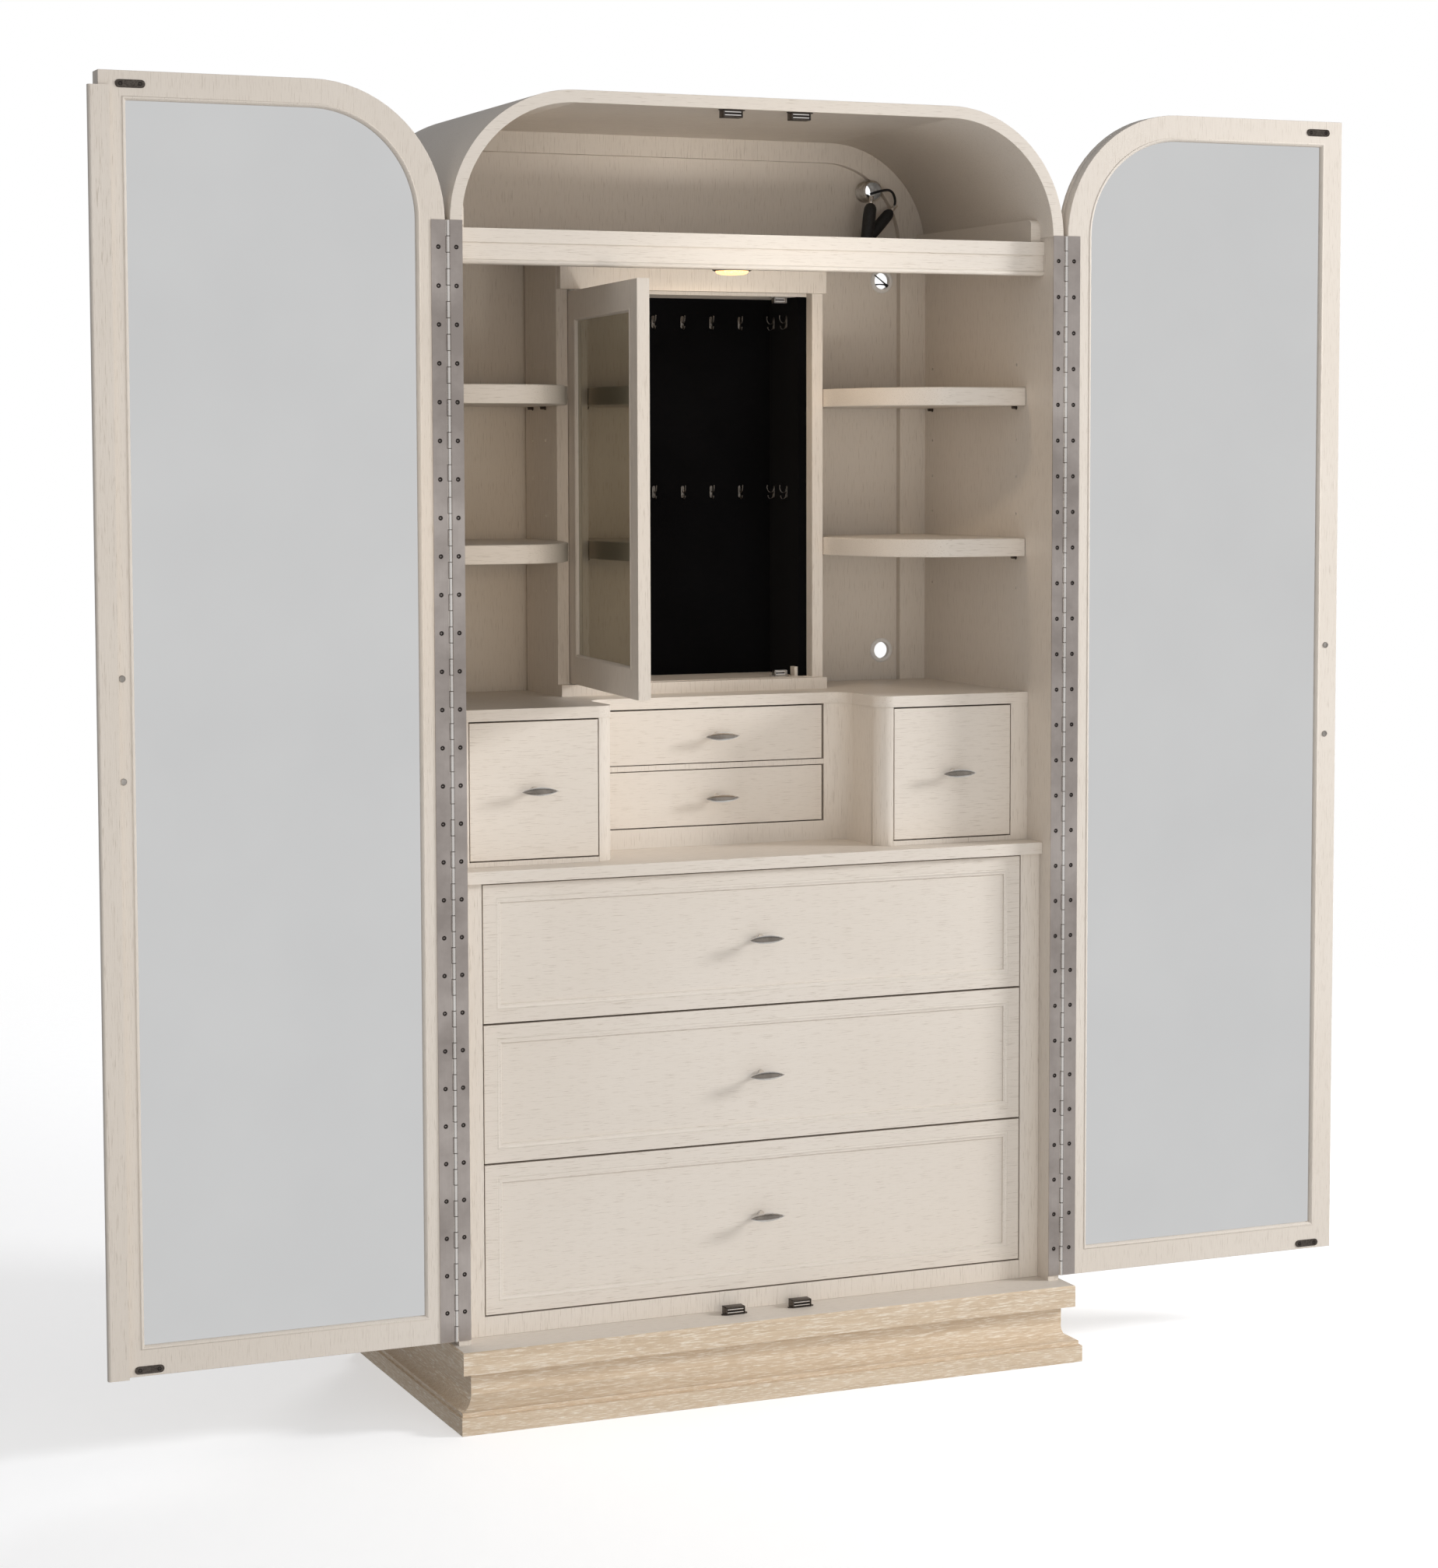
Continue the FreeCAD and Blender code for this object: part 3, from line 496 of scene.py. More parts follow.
def add_screw(bm, place, radius, rise, mat=0, sunk=0.4 * MM):
    """A domed screw head with a cross recess, facing the place's local Z."""
    rows = []
    for v in SCREW_GRID:
        row = []
        for u in SCREW_GRID:
            x, y = u * math.sqrt(1 - v * v / 2), v * math.sqrt(1 - u * u / 2)
            height = rise * (1 - x * x - y * y)
            if min(abs(u), abs(v)) < 0.15 and max(abs(u), abs(v)) < 0.6:
                height -= 0.42 * radius
            row.append(bm.verts.new(place @ Vector((x * radius, y * radius, height))))
        rows.append(row)
    for low_row, high_row in zip(rows, rows[1:]):
        for i in range(len(SCREW_GRID) - 1):
            corners = (low_row[i], low_row[i + 1], high_row[i + 1], high_row[i])
            bm.faces.new(corners).material_index = mat
    rim = rows[0] + [r[-1] for r in rows[1:]] + rows[-1][-2::-1] + [r[0] for r in rows[-2:0:-1]]
    down = place.to_3x3() @ Vector((0, 0, -sunk - 0.5 * radius))
    foot = [bm.verts.new(vert.co + down) for vert in rim]
    join_rings(bm, [rim, foot], mat, caps=False)
    bm.faces.new(foot).material_index = mat


def obround(half, radius, inset=0.0, steps=8):
    """A flat-sided outline with round ends, as (across, up) points."""
    outline = []
    for side, start in ((1, -90), (-1, 90)):
        for i in range(steps + 1):
            angle = math.radians(start + 180 * i / steps)
            outline.append((side * (half - radius) + (radius - inset) * math.cos(angle),
                            (radius - inset) * math.sin(angle)))
    return outline


def rounded_loop(x0, x1, z0, z1, radii=(0, 0, 0, 0), steps=28):
    """A closed outline from the lower left corner, with its own radius at each corner."""
    corners = ((x0, z0, 1, 1, 180), (x1, z0, -1, 1, 270), (x1, z1, -1, -1, 0), (x0, z1, 1, -1, 90))
    path = []
    for (x, z, inward_x, inward_z, start), radius in zip(corners, radii):
        if not radius:
            path.append(Vector((x, z)))
            continue
        for i in range(steps + 1):
            angle = math.radians(start + 90 * i / steps)
            path.append(Vector((x + inward_x * radius + radius * math.cos(angle),
                                z + inward_z * radius + radius * math.sin(angle))))
    return path


def add_moulding(bm, path, profile, front_y, mat=0):
    """Sweeps a closed profile of (inward, back) points round a closed outline, mitred."""
    rings = []
    for before, here, after in zip(path[-1:] + path, path, path[1:] + path[:1]):
        first, second = (here - before).normalized(), (after - here).normalized()
        mitre = Vector((-first.y - second.y, first.x + second.x)).normalized()
        mitre /= max(0.3, mitre.dot(Vector((-first.y, first.x))))
        rings.append([bm.verts.new((here.x + mitre.x * inward, front_y + back,
                                    here.y + mitre.y * inward)) for inward, back in profile])
    join_rings(bm, rings + rings[:1], mat, caps=False)


# ---- piano hinges ----
HINGE_PITCH = 60 * MM          # between screws
HINGE_SCREW = 3.1 * MM         # radius of a screw head
KNUCKLE_COUNT = 70
KNUCKLE_R = 3.5 * MM
KNUCKLE_GAP = 0.4 * MM
LEAF_T = 1.5 * MM
LEAF_W = 24 * MM               # from the pin to the cabinet leaf's far edge
LEAF_FRONT = 0.5 * MM          # from the pin's centre back to the leaves' front faces
FIRST_SCREW = 42 * MM          # below a leaf's top
COUNTERSINK = [(3.9, 0), (3.1, 0.7), (2.9, 1.3)]     # radius and depth, in millimetres


def add_leaf(bm, x0, x1, z0, z1, front_y):
    """A hinge leaf that faces -Y: a closed plate with a column of countersunk screws."""
    hole_x = (x0 + x1) / 2
    count = int((z1 - z0 - 20 * MM) / HINGE_PITCH)
    border = [bm.verts.new((x, front_y, z)) for x, z in ((x0, z0), (x1, z0), (x1, z1), (x0, z1))]
    edges = [bm.edges.new((a, b)) for a, b in zip(border, border[1:] + border[:1])]
    for z in [z1 - FIRST_SCREW - HINGE_PITCH * i for i in range(count)]:
        place = facing((hole_x, front_y, z), -Y)
        rings = [add_ring(bm, place, circle(radius, 14), -back)
                 for radius, back in in_mm(COUNTERSINK)]
        edges += [bm.edges.new((a, b)) for a, b in zip(rings[0], rings[0][1:] + rings[0][:1])]
        join_rings(bm, rings, 0, caps=False)
        bm.faces.new(rings[-1])
        sunk = facing((hole_x, front_y + 0.35 * MM, z), -Y)
        add_screw(bm, sunk, HINGE_SCREW, 0.35 * MM, 1, 0.1 * MM)
    bmesh.ops.triangle_fill(bm, use_beauty=True, use_dissolve=False, edges=edges, normal=(0, -1, 0))
    back = [bm.verts.new(v.co + Vector((0, LEAF_T, 0))) for v in border]
    join_rings(bm, [border, back], 0, caps=False)
    bm.faces.new(back)


def add_knuckles(bm, pin, edge_x, z0, z1, first):
    """Every second knuckle about the pin, each with the tab that joins it to its leaf."""
    pitch, ease = (z1 - z0) / KNUCKLE_COUNT, 0.4 * MM
    for i in range(first, KNUCKLE_COUNT, 2):
        low, high = z0 + i * pitch + KNUCKLE_GAP, z0 + (i + 1) * pitch - KNUCKLE_GAP
        add_lathe(bm, [(0, low), (KNUCKLE_R - ease, low), (KNUCKLE_R, low + ease),
                       (KNUCKLE_R, high - ease), (KNUCKLE_R - ease, high), (0, high)],
                  Matrix.Translation((pin.x, pin.y, 0)), 2, 18)
        xs = sorted((edge_x, pin.x))
        add_box(bm, (xs[0], pin.y + LEAF_FRONT, low), (xs[1], pin.y + 2 * MM, high), 2)


def piano_hinges():
    """One cabinet piece for both hinges, and one leaf on each door."""
    # the knuckles take the lighter steel, a painted highlight
    metals = [HINGE_STEEL, SCREW_DARK, KNUCKLE_STEEL_PAINTED_HIGHLIGHT]
    low, high = span("hinge_cabinet_leaves")
    cabinet = bmesh.new()
    for side, sign in (("left", -1), ("right", 1)):
        pin = PINS[side + "_door_hinge"]
        front_y = pin.y + LEAF_FRONT
        reach = sign * (KNUCKLE_R + 0.3 * MM)
        xs = sorted((pin.x - sign * LEAF_W, pin.x - reach))
        add_leaf(cabinet, xs[0], xs[1], low.z, high.z, front_y)
        add_knuckles(cabinet, pin, pin.x - reach, low.z, high.z, 0)
        door = bmesh.new()
        far = max(abs(corner.x) for corner in span(side + "_hinge_door_leaf"))
        xs = sorted((pin.x + reach, sign * far))
        add_leaf(door, xs[0], xs[1], low.z, high.z, front_y)
        add_knuckles(door, pin, pin.x + reach, low.z, high.z, 1)
        finish_piece(door, side + "_piano_hinge_door_leaf", side + "_door", metals,
                     [side + "_hinge_door_leaf"])
    finish_piece(cabinet, "piano_hinge_cabinet_leaves", "carcass", metals,
                 ["hinge_cabinet_leaves"])


# ---- drawer pulls ----
LARGE_DRAWERS = ["large_drawer_1", "large_drawer_2", "large_drawer_3"]
PULL_STATIONS, PULL_AROUND = 33, 28
PULL_POST = [(0, 0), (6.0, 0), (6.2, 0.5), (5.6, 1.3), (4.2, 3.2), (3.5, 7), (3.3, 13), (3.9, 18),
             (4.8, 22), (0, 24)]
TIP_BACK = 0.9 * MM            # the pull's tips stand this far behind its rim
DISH_DEPTH, DISH_HALF = 2.4 * MM, 0.86      # the dish's depth, and its share of the half width
HULL_DEPTH, RIM_DEPTH = 6.4 * MM, 1.2 * MM


def add_pull(bm, low, high):
    """A boat-shaped pull: a dished oval face with a thin rim, a hull behind it and one post."""
    centre = (low + high) / 2
    half, rise = (high.x - low.x) / 2, (high.z - low.z) / 2
    face_y, front_y = high.y, low.y
    rings = []
    for i in range(PULL_STATIONS):
        along = -math.cos(math.pi * i / (PULL_STATIONS - 1))
        taper = max(0.0, 1 - along * along)
        x = centre.x + half * along
        if i in (0, PULL_STATIONS - 1):
            rings.append([bm.verts.new((x, front_y + TIP_BACK, centre.z))])
            continue
        ring = []
        for k in range(PULL_AROUND):
            angle = TAU * k / PULL_AROUND
            across, deep = math.cos(angle), math.sin(angle)
            width = rise * taper ** 0.9 * across
            if deep < 0:
                y = DISH_DEPTH * (1 - min(1, abs(across) / DISH_HALF) ** 2) * taper ** 0.5
            else:
                y = RIM_DEPTH * min(1, 6 * deep) + HULL_DEPTH * deep ** 1.1 * taper ** 0.6
                width *= 1 - 0.10 * deep
            ring.append(bm.verts.new((x, front_y + y, centre.z + width)))
        rings.append(ring)
    join_rings(bm, rings, 0, caps=False)
    # Faces in the dish take the darker nickel: painted shade in the hollow, against the bright rim
    for face in bm.faces:
        middle = face.calc_center_median()
        share = max(0.0, 1 - ((middle.x - centre.x) / (0.93 * half)) ** 2)
        in_dish = abs(middle.z - centre.z) < 0.62 * rise * share ** 0.9
        if in_dish and middle.y < front_y + DISH_DEPTH + 0.2 * MM:
            face.material_index = 1
    add_lathe(bm, in_mm(PULL_POST), facing((centre.x, face_y, centre.z), -Y), 0, 24)


def drawer_pulls():
    """One pull on each of the seven drawers."""
    for drawer in LARGE_DRAWERS + ["left_box_drawer", "right_box_drawer", "upper_centre_drawer",
                                   "lower_centre_drawer"]:
        body = drawer.replace("_box_", "_small_").replace("_centre_", "_small_")
        bm = bmesh.new()
        add_pull(bm, *span(drawer + "_pull"))
        finish_piece(bm, drawer + "_boat_pull", body, [PULL_NICKEL, DISH_NICKEL_PAINTED_SHADE],
                     [drawer + "_pull"], 50)


# ---- tall doors ----
MIRROR_ARC = 170 * MM
PANEL_BORDER, PANEL_FOOT, PANEL_ARC = 80 * MM, 90 * MM, 130 * MM     # of the outer faces
BEAD = [(-1.4, 0.6), (-1.2, -0.5), (-0.3, -1.1), (0.9, -1.0), (2.2, 0.0), (3.6, 1.2), (4.7, 2.9),
        (5.0, 4.9), (-1.4, 4.9)]
OUTER_BEAD = [(-0.4, -5.8), (0.0, -6.2), (1.4, -5.9), (2.6, -4.6), (3.4, -3.0), (5.0, -1.6),
              (6.6, -0.9), (7.0, 0.1), (-0.4, 0.1)]


def door_beads():
    """A bead round each mirror, and an ovolo inside the raised rim of each outer face."""
    for side, arched in (("left", (0, 0, 1, 0)), ("right", (0, 0, 0, 1))):
        low, high = span(side + "_door_mirror")
        bm = bmesh.new()
        outline = rounded_loop(low.x, high.x, low.z, high.z, [MIRROR_ARC * c for c in arched])
        add_moulding(bm, outline, in_mm(BEAD), span(side + "_door_frame")[0].y)
        low, high = span(side + "_door_outer_panel")
        outline = rounded_loop(low.x + PANEL_BORDER, high.x - PANEL_BORDER, low.z + PANEL_FOOT,
                               high.z - PANEL_BORDER, [PANEL_ARC * c for c in arched])
        profile = [(inward, -back) for inward, back in in_mm(OUTER_BEAD)]
        add_moulding(bm, outline, profile, high.y - 6 * MM)
        finish_piece(bm, side + "_door_beads", side + "_door", [PAINTED["Z"]], (),
                     50)


BOLT_HEAD = [(0, 0), (5.2, 0), (5.2, 0.8), (4.6, 1.5), (4.0, 1.7), (0, 1.7)]


def add_strike(bm, low, high, front_y, thick):
    """An obround plate that faces -Y, with a screw near each end."""
    centre = (low + high) / 2
    half, radius = (high.x - low.x) / 2, (high.z - low.z) / 2
    place = facing((centre.x, front_y, centre.z), -Y)
    join_rings(bm, [add_ring(bm, place, obround(half, radius, inset), -back)
                    for inset, back in ((0, thick), (0, 0.45 * MM), (0.5 * MM, 0))], 1)
    for sign in (-1, 1):
        at = (centre.x + sign * (half - radius - 2 * MM), front_y - 0.05 * MM, centre.z)
        add_screw(bm, facing(at, -Y), 3.3 * MM, 0.7 * MM, 2)


def door_hardware():
    """A bar handle outside, its two bolt heads inside, and two strikes, on each tall door."""
    for side in ("left", "right"):
        solids = islands(side + "_door_hardware")
        grip = max(solids, key=lambda ends: ends[1].z - ends[0].z)
        bm = bmesh.new()
        x, bar_r, steps = (grip[0].x + grip[1].x) / 2, 6 * MM, 6
        bar_y, face_y = grip[1].y - bar_r, grip[0].y
        z0, z1 = grip[0].z, grip[1].z
        quarter = [math.pi / 2 * i / steps for i in range(steps + 1)]
        ends = [(bar_r * (1 - math.cos(a)), bar_r * max(0.05, math.sin(a))) for a in quarter]
        profile = [(r, z0 + h) for h, r in ends] + [(r, z1 - h) for h, r in reversed(ends)]
        add_lathe(bm, profile, Matrix.Translation((x, bar_y, 0)), 0, 24)
        door_front = span(side + "_door_frame")[0].y
        reach = (bar_y - face_y) / MM
        post = [(0, 0), (8.5, 0), (8.5, 1.2), (6, 3), (5, 7), (4.6, reach * 0.6), (5.2, reach),
                (0, reach)]
        for z in (z0 + 22 * MM, z1 - 22 * MM):
            add_lathe(bm, in_mm(post), facing((x, face_y, z), Y), 0, 24)
            add_lathe(bm, in_mm(BOLT_HEAD), facing((x, door_front, z), -Y), 0, 24)
            add_screw(bm, facing((x, door_front - 1.6 * MM, z), -Y), 4.0 * MM, 0.7 * MM, 0)
        for low, high in solids:
            if high.z - low.z < 50 * MM:
                add_strike(bm, low, high, low.y, high.y - low.y)
        finish_piece(bm, side + "_door_fittings", side + "_door", [NICKEL, BRONZE, SCREW_DARK],
                     [side + "_door_hardware"])


# ---- catches ----
CATCH_EAR = 6 * MM         # each plate's ear beyond the catch's body


def add_catch(bm, low, high, mat, upward):
    """A magnetic catch on an eared plate.  upward is 1 if it stands on a board, -1 if it hangs."""
    plate, wall, ease = 1.4 * MM, 1.7 * MM, 0.45 * MM
    x0, x1 = low.x + CATCH_EAR, high.x - CATCH_EAR
    centre_x, half, screw_y = (low.x + high.x) / 2, (high.x - low.x) / 2, low.y + 6.5 * MM
    z_board = low.z if upward > 0 else high.z
    place = Matrix.Translation((centre_x, screw_y, 0))
    join_rings(bm, [add_ring(bm, place, obround(half, 4.5 * MM), z)
                    for z in sorted((z_board, z_board + upward * plate))], mat)
    for sign in (-1, 1):
        at = (centre_x + sign * (half - 3.6 * MM), screw_y, z_board + upward * (plate + 0.1 * MM))
        add_screw(bm, facing(at, Z * upward, Y), 2.6 * MM, 0.6 * MM, mat)
    for left, foot, right, top in ((x0, low.z, x0 + wall, high.z), (x1 - wall, low.z, x1, high.z),
                                   (x0, low.z, x1, low.z + wall), (x0, high.z - wall, x1, high.z)):
        add_box(bm, (left, low.y, foot), (right, high.y, top), mat, ease)
    add_box(bm, (x0 + wall / 2, low.y + 3.2 * MM, low.z + wall / 2),
            (x1 - wall / 2, high.y - 0.3 * MM, high.z - wall / 2), mat)
    inner = high.z - low.z - 2 * wall
    for share in (0.24, 0.76):
        z = low.z + wall + inner * share
        add_box(bm, (x0 + 2.6 * MM, low.y + 0.7 * MM, z - 0.85 * MM),
                (x1 - 2.6 * MM, low.y + 5 * MM, z + 0.85 * MM), 2, 0.25 * MM)
    add_box(bm, (x0 + 4 * MM, low.y + 2.1 * MM, low.z + wall + inner * 0.36),
            (x1 - 4 * MM, low.y + 5 * MM, low.z + wall + inner * 0.64), 3, 0.25 * MM)


def magnetic_catches():
    """Bronze ones for the tall doors and smaller nickel ones for the jewellery door."""
    bm = bmesh.new()
    jewel_foot = span("jewel_door_frame")[0].z
    for low, high in islands("catches"):
        small = high.x - low.x < 40 * MM
        stands = low.z < 0.5 or abs(low.z - jewel_foot) < 5 * MM
        add_catch(bm, low, high, 1 if small else 0, 1 if stands else -1)
    finish_piece(bm, "magnetic_catches", "carcass", [BRONZE, NICKEL, KNUCKLE_STEEL_PAINTED_HIGHLIGHT, SCREW_DARK],
                 ["catches"])


# ---- jewellery cabinet ----
HOOK_UPPER = [(0.8, 2.5), (1.6, -1.2), (4.6, -3.8), (8.8, -2.8), (11.8, 1.0), (13.0, 5.6),
              (12.2, 9.8)]         # (out, up) in millimetres from the plate
HOOK_LOWER = [(0.8, -6), (1.5, -10.5), (4.2, -14), (8.0, -14.4), (10.6, -11.8), (11.0, -8.6)]


def smoothed(points, steps=5):
    """Points along a smooth line through the given ones."""
    ends = [points[0]] + list(points) + [points[-1]]
    line = []
    for p0, p1, p2, p3 in zip(ends, ends[1:], ends[2:], ends[3:]):
        for i in range(steps):
            t = i / steps
            line.append([0.5 * (2 * b + (c - a) * t + (2 * a - 5 * b + 4 * c - d) * t * t
                                + (3 * b - a - 3 * c + d) * t ** 3)
                         for a, b, c, d in zip(p0, p1, p2, p3)])
    return line + [list(points[-1])]


def add_hook(bm, place):
    """An oval plate with a hook curling out and up, and a smaller one below it."""
    join_rings(bm, [[bm.verts.new(place @ Vector((v, u - 2 * MM, out)))
                     for u, v in obround(11 * MM, 3.4 * MM, inset)]
                    for inset, out in in_mm(((0, 0), (0, 0.7), (0.5, 1.1)))], 0)
    for points in (HOOK_UPPER, HOOK_LOWER):
        path = [place @ Vector((0, up, out)) for out, up in smoothed(in_mm(points))]
        radii = [0.9 * MM] * (len(path) - 4) + [1.1 * MM, 1.5 * MM, 1.4 * MM, 0.5 * MM]
        add_tube(bm, path, radii, 0, 10)


def necklace_hooks():
    """Each faces away from the lining it is screwed to: the back one, or the right one."""
    bm = bmesh.new()
    for low, high in islands("necklace_hooks"):
        middle = (low + high) / 2
        foot_z = low.z + 1.6 * MM
        if high.y - low.y > high.x - low.x:
            place = facing((middle.x, high.y, foot_z), -Y)
        else:
            place = facing((high.x, middle.y, foot_z), -X)
        add_hook(bm, place)
    finish_piece(bm, "necklace_hook_prongs", "carcass", [DARK_NICKEL],
                 ["necklace_hooks"], 60)


JEWEL_BEAD = [(-0.8, 0.4), (-0.6, -0.5), (0.4, -0.9), (1.6, -0.4), (3.0, 1.4), (4.0, 3.4),
              (4.4, 5.9), (-0.8, 5.9)]
JEWEL_BACK_BEAD = [(-0.6, 0.3), (0.8, 0.2), (2.6, -0.7), (3.2, -2.2), (-0.6, -2.2)]
JEWEL_OPEN = 96.5          # degrees from shut, as the frame holds it
JEWEL_HALF, JEWEL_BORDER = 224.5 * MM, 46 * MM     # the door's half width, its frame's border
JEWEL_FACE, JEWEL_THICK = -3 * MM, 20 * MM         # its face from the pin, and its thickness


def jewel_door_bead():
    """Drawn round the mirror with the door shut, then turned to the door's stored angle."""
    pin = PINS["jewellery_door_hinge"]
    low, high = span("jewel_door_frame")
    outline = rounded_loop(JEWEL_BORDER - JEWEL_HALF, JEWEL_HALF - JEWEL_BORDER,
                           low.z + JEWEL_BORDER, high.z - JEWEL_BORDER)
    bm = bmesh.new()
    for profile, depth in ((JEWEL_BEAD, JEWEL_FACE), (JEWEL_BACK_BEAD, JEWEL_FACE + JEWEL_THICK)):
        add_moulding(bm, outline, in_mm(profile), pin.y + depth)
    turn = Matrix.Translation(pin) @ Matrix.Rotation(math.radians(-JEWEL_OPEN), 4, "Z")
    bmesh.ops.transform(bm, matrix=turn @ Matrix.Translation(-pin), verts=bm.verts)
    finish_piece(bm, "jewel_door_beads", "jewellery_door", [PAINTED["Z"]], (), 50)


# ---- drawer beads ----
DRAWER_BEAD = [(-0.2, 1.7), (-0.2, 0.5), (0.8, 0.05), (2.2, 0.15), (3.6, 1.0), (4.4, 1.35),
               (5.6, 1.2), (7.0, 2.1), (8.2, 3.2), (8.9, 4.2), (4.0, 4.2)]
DRAWER_BORDER = 22 * MM


def drawer_beads():
    """A moulding round the face of each large drawer."""
    rim = Vector((DRAWER_BORDER, 0, DRAWER_BORDER))
    for drawer in LARGE_DRAWERS:
        low, high = span(drawer + "_front")
        inner, outer = low + rim, high - rim
        bm = bmesh.new()
        outline = rounded_loop(inner.x, outer.x, inner.z, outer.z)
        add_moulding(bm, outline, in_mm(DRAWER_BEAD), low.y)
        finish_piece(bm, drawer + "_bead", drawer, [PAINTED["X"]], (), 40)


# ---- lights, leads and small fittings ----
def puck_lamp():
    """A ribbed bronze body with a domed lens, facing down."""
    low, high = span("puck_lamp")
    middle, height, radius = (low + high) / 2, high.z - low.z, (high.x - low.x) / 2
    bm = bmesh.new()
    shell = [(0, 0), (radius - 2 * MM, 0), (radius - 1 * MM, 0.6 * MM), (radius, 3 * MM)]
    rim = ((0, 9), (0.8, 7.4), (3, 6.6), (5, 7.2), (5.6, 9))
    shell += [(radius - inward * MM, height - drop * MM) for inward, drop in rim]
    shell.append((0, height - 9 * MM))
    place = facing((middle.x, middle.y, high.z), -Z, Y)
    add_lathe(bm, shell, place, 0, 48)
    for z in (6, 11, 16):
        ridge = ((-0.4, 0), (0.35, 0.6), (0.35, 1.6), (-0.4, 2.2))
        add_lathe(bm, [(radius + out * MM, (z + h) * MM) for out, h in ridge], place, 0, 48)
    lens = radius - 5.8 * MM
    dome = ((1, 9.5), (1, 5), (0.92, 2.6), (0.75, 1.1), (0.45, 0.2), (0, 0))
    add_lathe(bm, [(lens * share, height - drop * MM) for share, drop in dome], place, 1, 48)
    finish_piece(bm, "puck_lamp_body", "carcass", [BRONZE, LAMP_GLOW],
                 ["puck_lamp"])


def cable_grommets():
    """A white ring in each outlet, and the cable ends seen through the upper one."""
    bm = bmesh.new()
    profile = [(14.9, -0.5), (14.9, -2.2), (15.6, -2.9), (17.2, -3.0), (19.8, -2.6), (21.4, -1.6),
               (22.0, -0.2), (21.6, 0.0), (15.4, 0.0), (14.9, -0.5)]
    for low, high in islands("cable_grommets"):
        middle = (low + high) / 2
        place = facing((middle.x, high.y, middle.z), Y)
        add_lathe(bm, in_mm(profile), place, 0, 40)
        if middle.z > 1.5:
            for ends in (((-15.6, 10.5), (-4, 2.5), (6, -5), (14.2, -9.5)),
                         ((-13, -7), (-5, -6.2), (5, -6.6), (12, -12))):
                route = [(middle.x + a * MM, low.y + (0.4 + 0.5 * i) * MM, middle.z + b * MM)
                         for i, (a, b) in enumerate(ends)]
                add_tube(bm, route, [1.3 * MM, 1.0 * MM, 1.5 * MM, 1.7 * MM], 1, 8)
    finish_piece(bm, "grommet_rings", "carcass", [WHITE_PLASTIC, RUBBER],
                 ["cable_grommets"])


CABINET_REACH = 0.4        # pins nearer the middle than this are in the cabinet's sides


def shelf_pins():
    """A pin with a collar at the board and a spoon under the shelf.

    The wall is right of the pins on the carcass's right and on the cabinet's left.
    """
    bm = bmesh.new()
    for low, high in islands("shelf_pegs"):
        middle, radius, length = (low + high) / 2, (high.z - low.z) / 2, high.x - low.x
        wall_right = (abs(middle.x) > CABINET_REACH) == (middle.x > 0)
        wall_x, inward = (high.x, -1) if wall_right else (low.x, 1)
        place = facing((wall_x, middle.y, middle.z), X * inward)
        profile = [(0, 0), (radius * 1.5, 0), (radius * 1.5, 0.9 * MM), (radius, 1.1 * MM),
                   (radius, length - 0.6 * MM), (radius * 0.7, length), (0, length)]
        add_lathe(bm, profile, place, 0, 16)
        xs = sorted((wall_x + inward * 1.2 * MM, wall_x + inward * length))
        add_box(bm, (xs[0], middle.y - 4 * MM, high.z - 0.9 * MM),
                (xs[1], middle.y + 4 * MM, high.z), 0, 0.3 * MM)
    finish_piece(bm, "shelf_pins", "carcass", [BRONZE], ["shelf_pegs"])


def smooth_lead(name, points, replaced=()):
    """A black wire along a smooth curve whose control points are given in millimetres."""
    data = bpy.data.curves.new(name, "CURVE")
    data.dimensions = "3D"
    data.bevel_depth = 2.3 * MM
    data.bevel_resolution = 3
    data.resolution_u = 8
    data.use_fill_caps = True
    line = data.splines.new("NURBS")
    line.points.add(len(points) - 1)
    for point, place in zip(line.points, points):
        point.co = (*(Vector(place) * MM), 1)
    line.use_endpoint_u = True
    line.order_u = 3
    data.materials.append(RUBBER)
    obj = new_object(name, data)
    if replaced:
        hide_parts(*replaced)
    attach(obj, "carcass")


def add_sleeve(bm, foot, head, radius):
    """A soft tube with a rounded end and a collar, between two points in millimetres."""
    along, length = (head - foot).normalized(), (head - foot).length
    points, radii = [], []
    for i in range(25):
        share = i / 24
        points.append((foot + along * (4 + (length - 4.3) * share)) * MM)
        bulge = 1 - 0.05 * math.sin(math.pi * 2.2 * share)
        past = max(0.0, (share - 0.86) / 0.142)
        end = min(1.0, math.sqrt(max(0.0, 1 - past ** 2)) * 0.92 + 0.08)
        radii.append(radius * MM * bulge * end)
    add_tube(bm, points, radii, 0, 20)
    add_tube(bm, [(head - along * 3) * MM, (head + along * 1.5) * MM], 3.6 * MM, 1, 14)


def add_spring(bm, foot, head):
    """The coil that guards a wire where it leaves its sleeve."""
    along = (head - foot).normalized()
    side = along.orthogonal().normalized()
    other = along.cross(side)
    turns, steps, radius, reach = 6, 96, 3.6, 11.0
    coil = []
    for i in range(steps + 1):
        angle = TAU * turns * i / steps
        coil.append((head + along * (1.0 + reach * i / steps)
                     + (side * math.cos(angle) + other * math.sin(angle)) * radius) * MM)
    add_tube(bm, coil, 0.7 * MM, 0, 7)


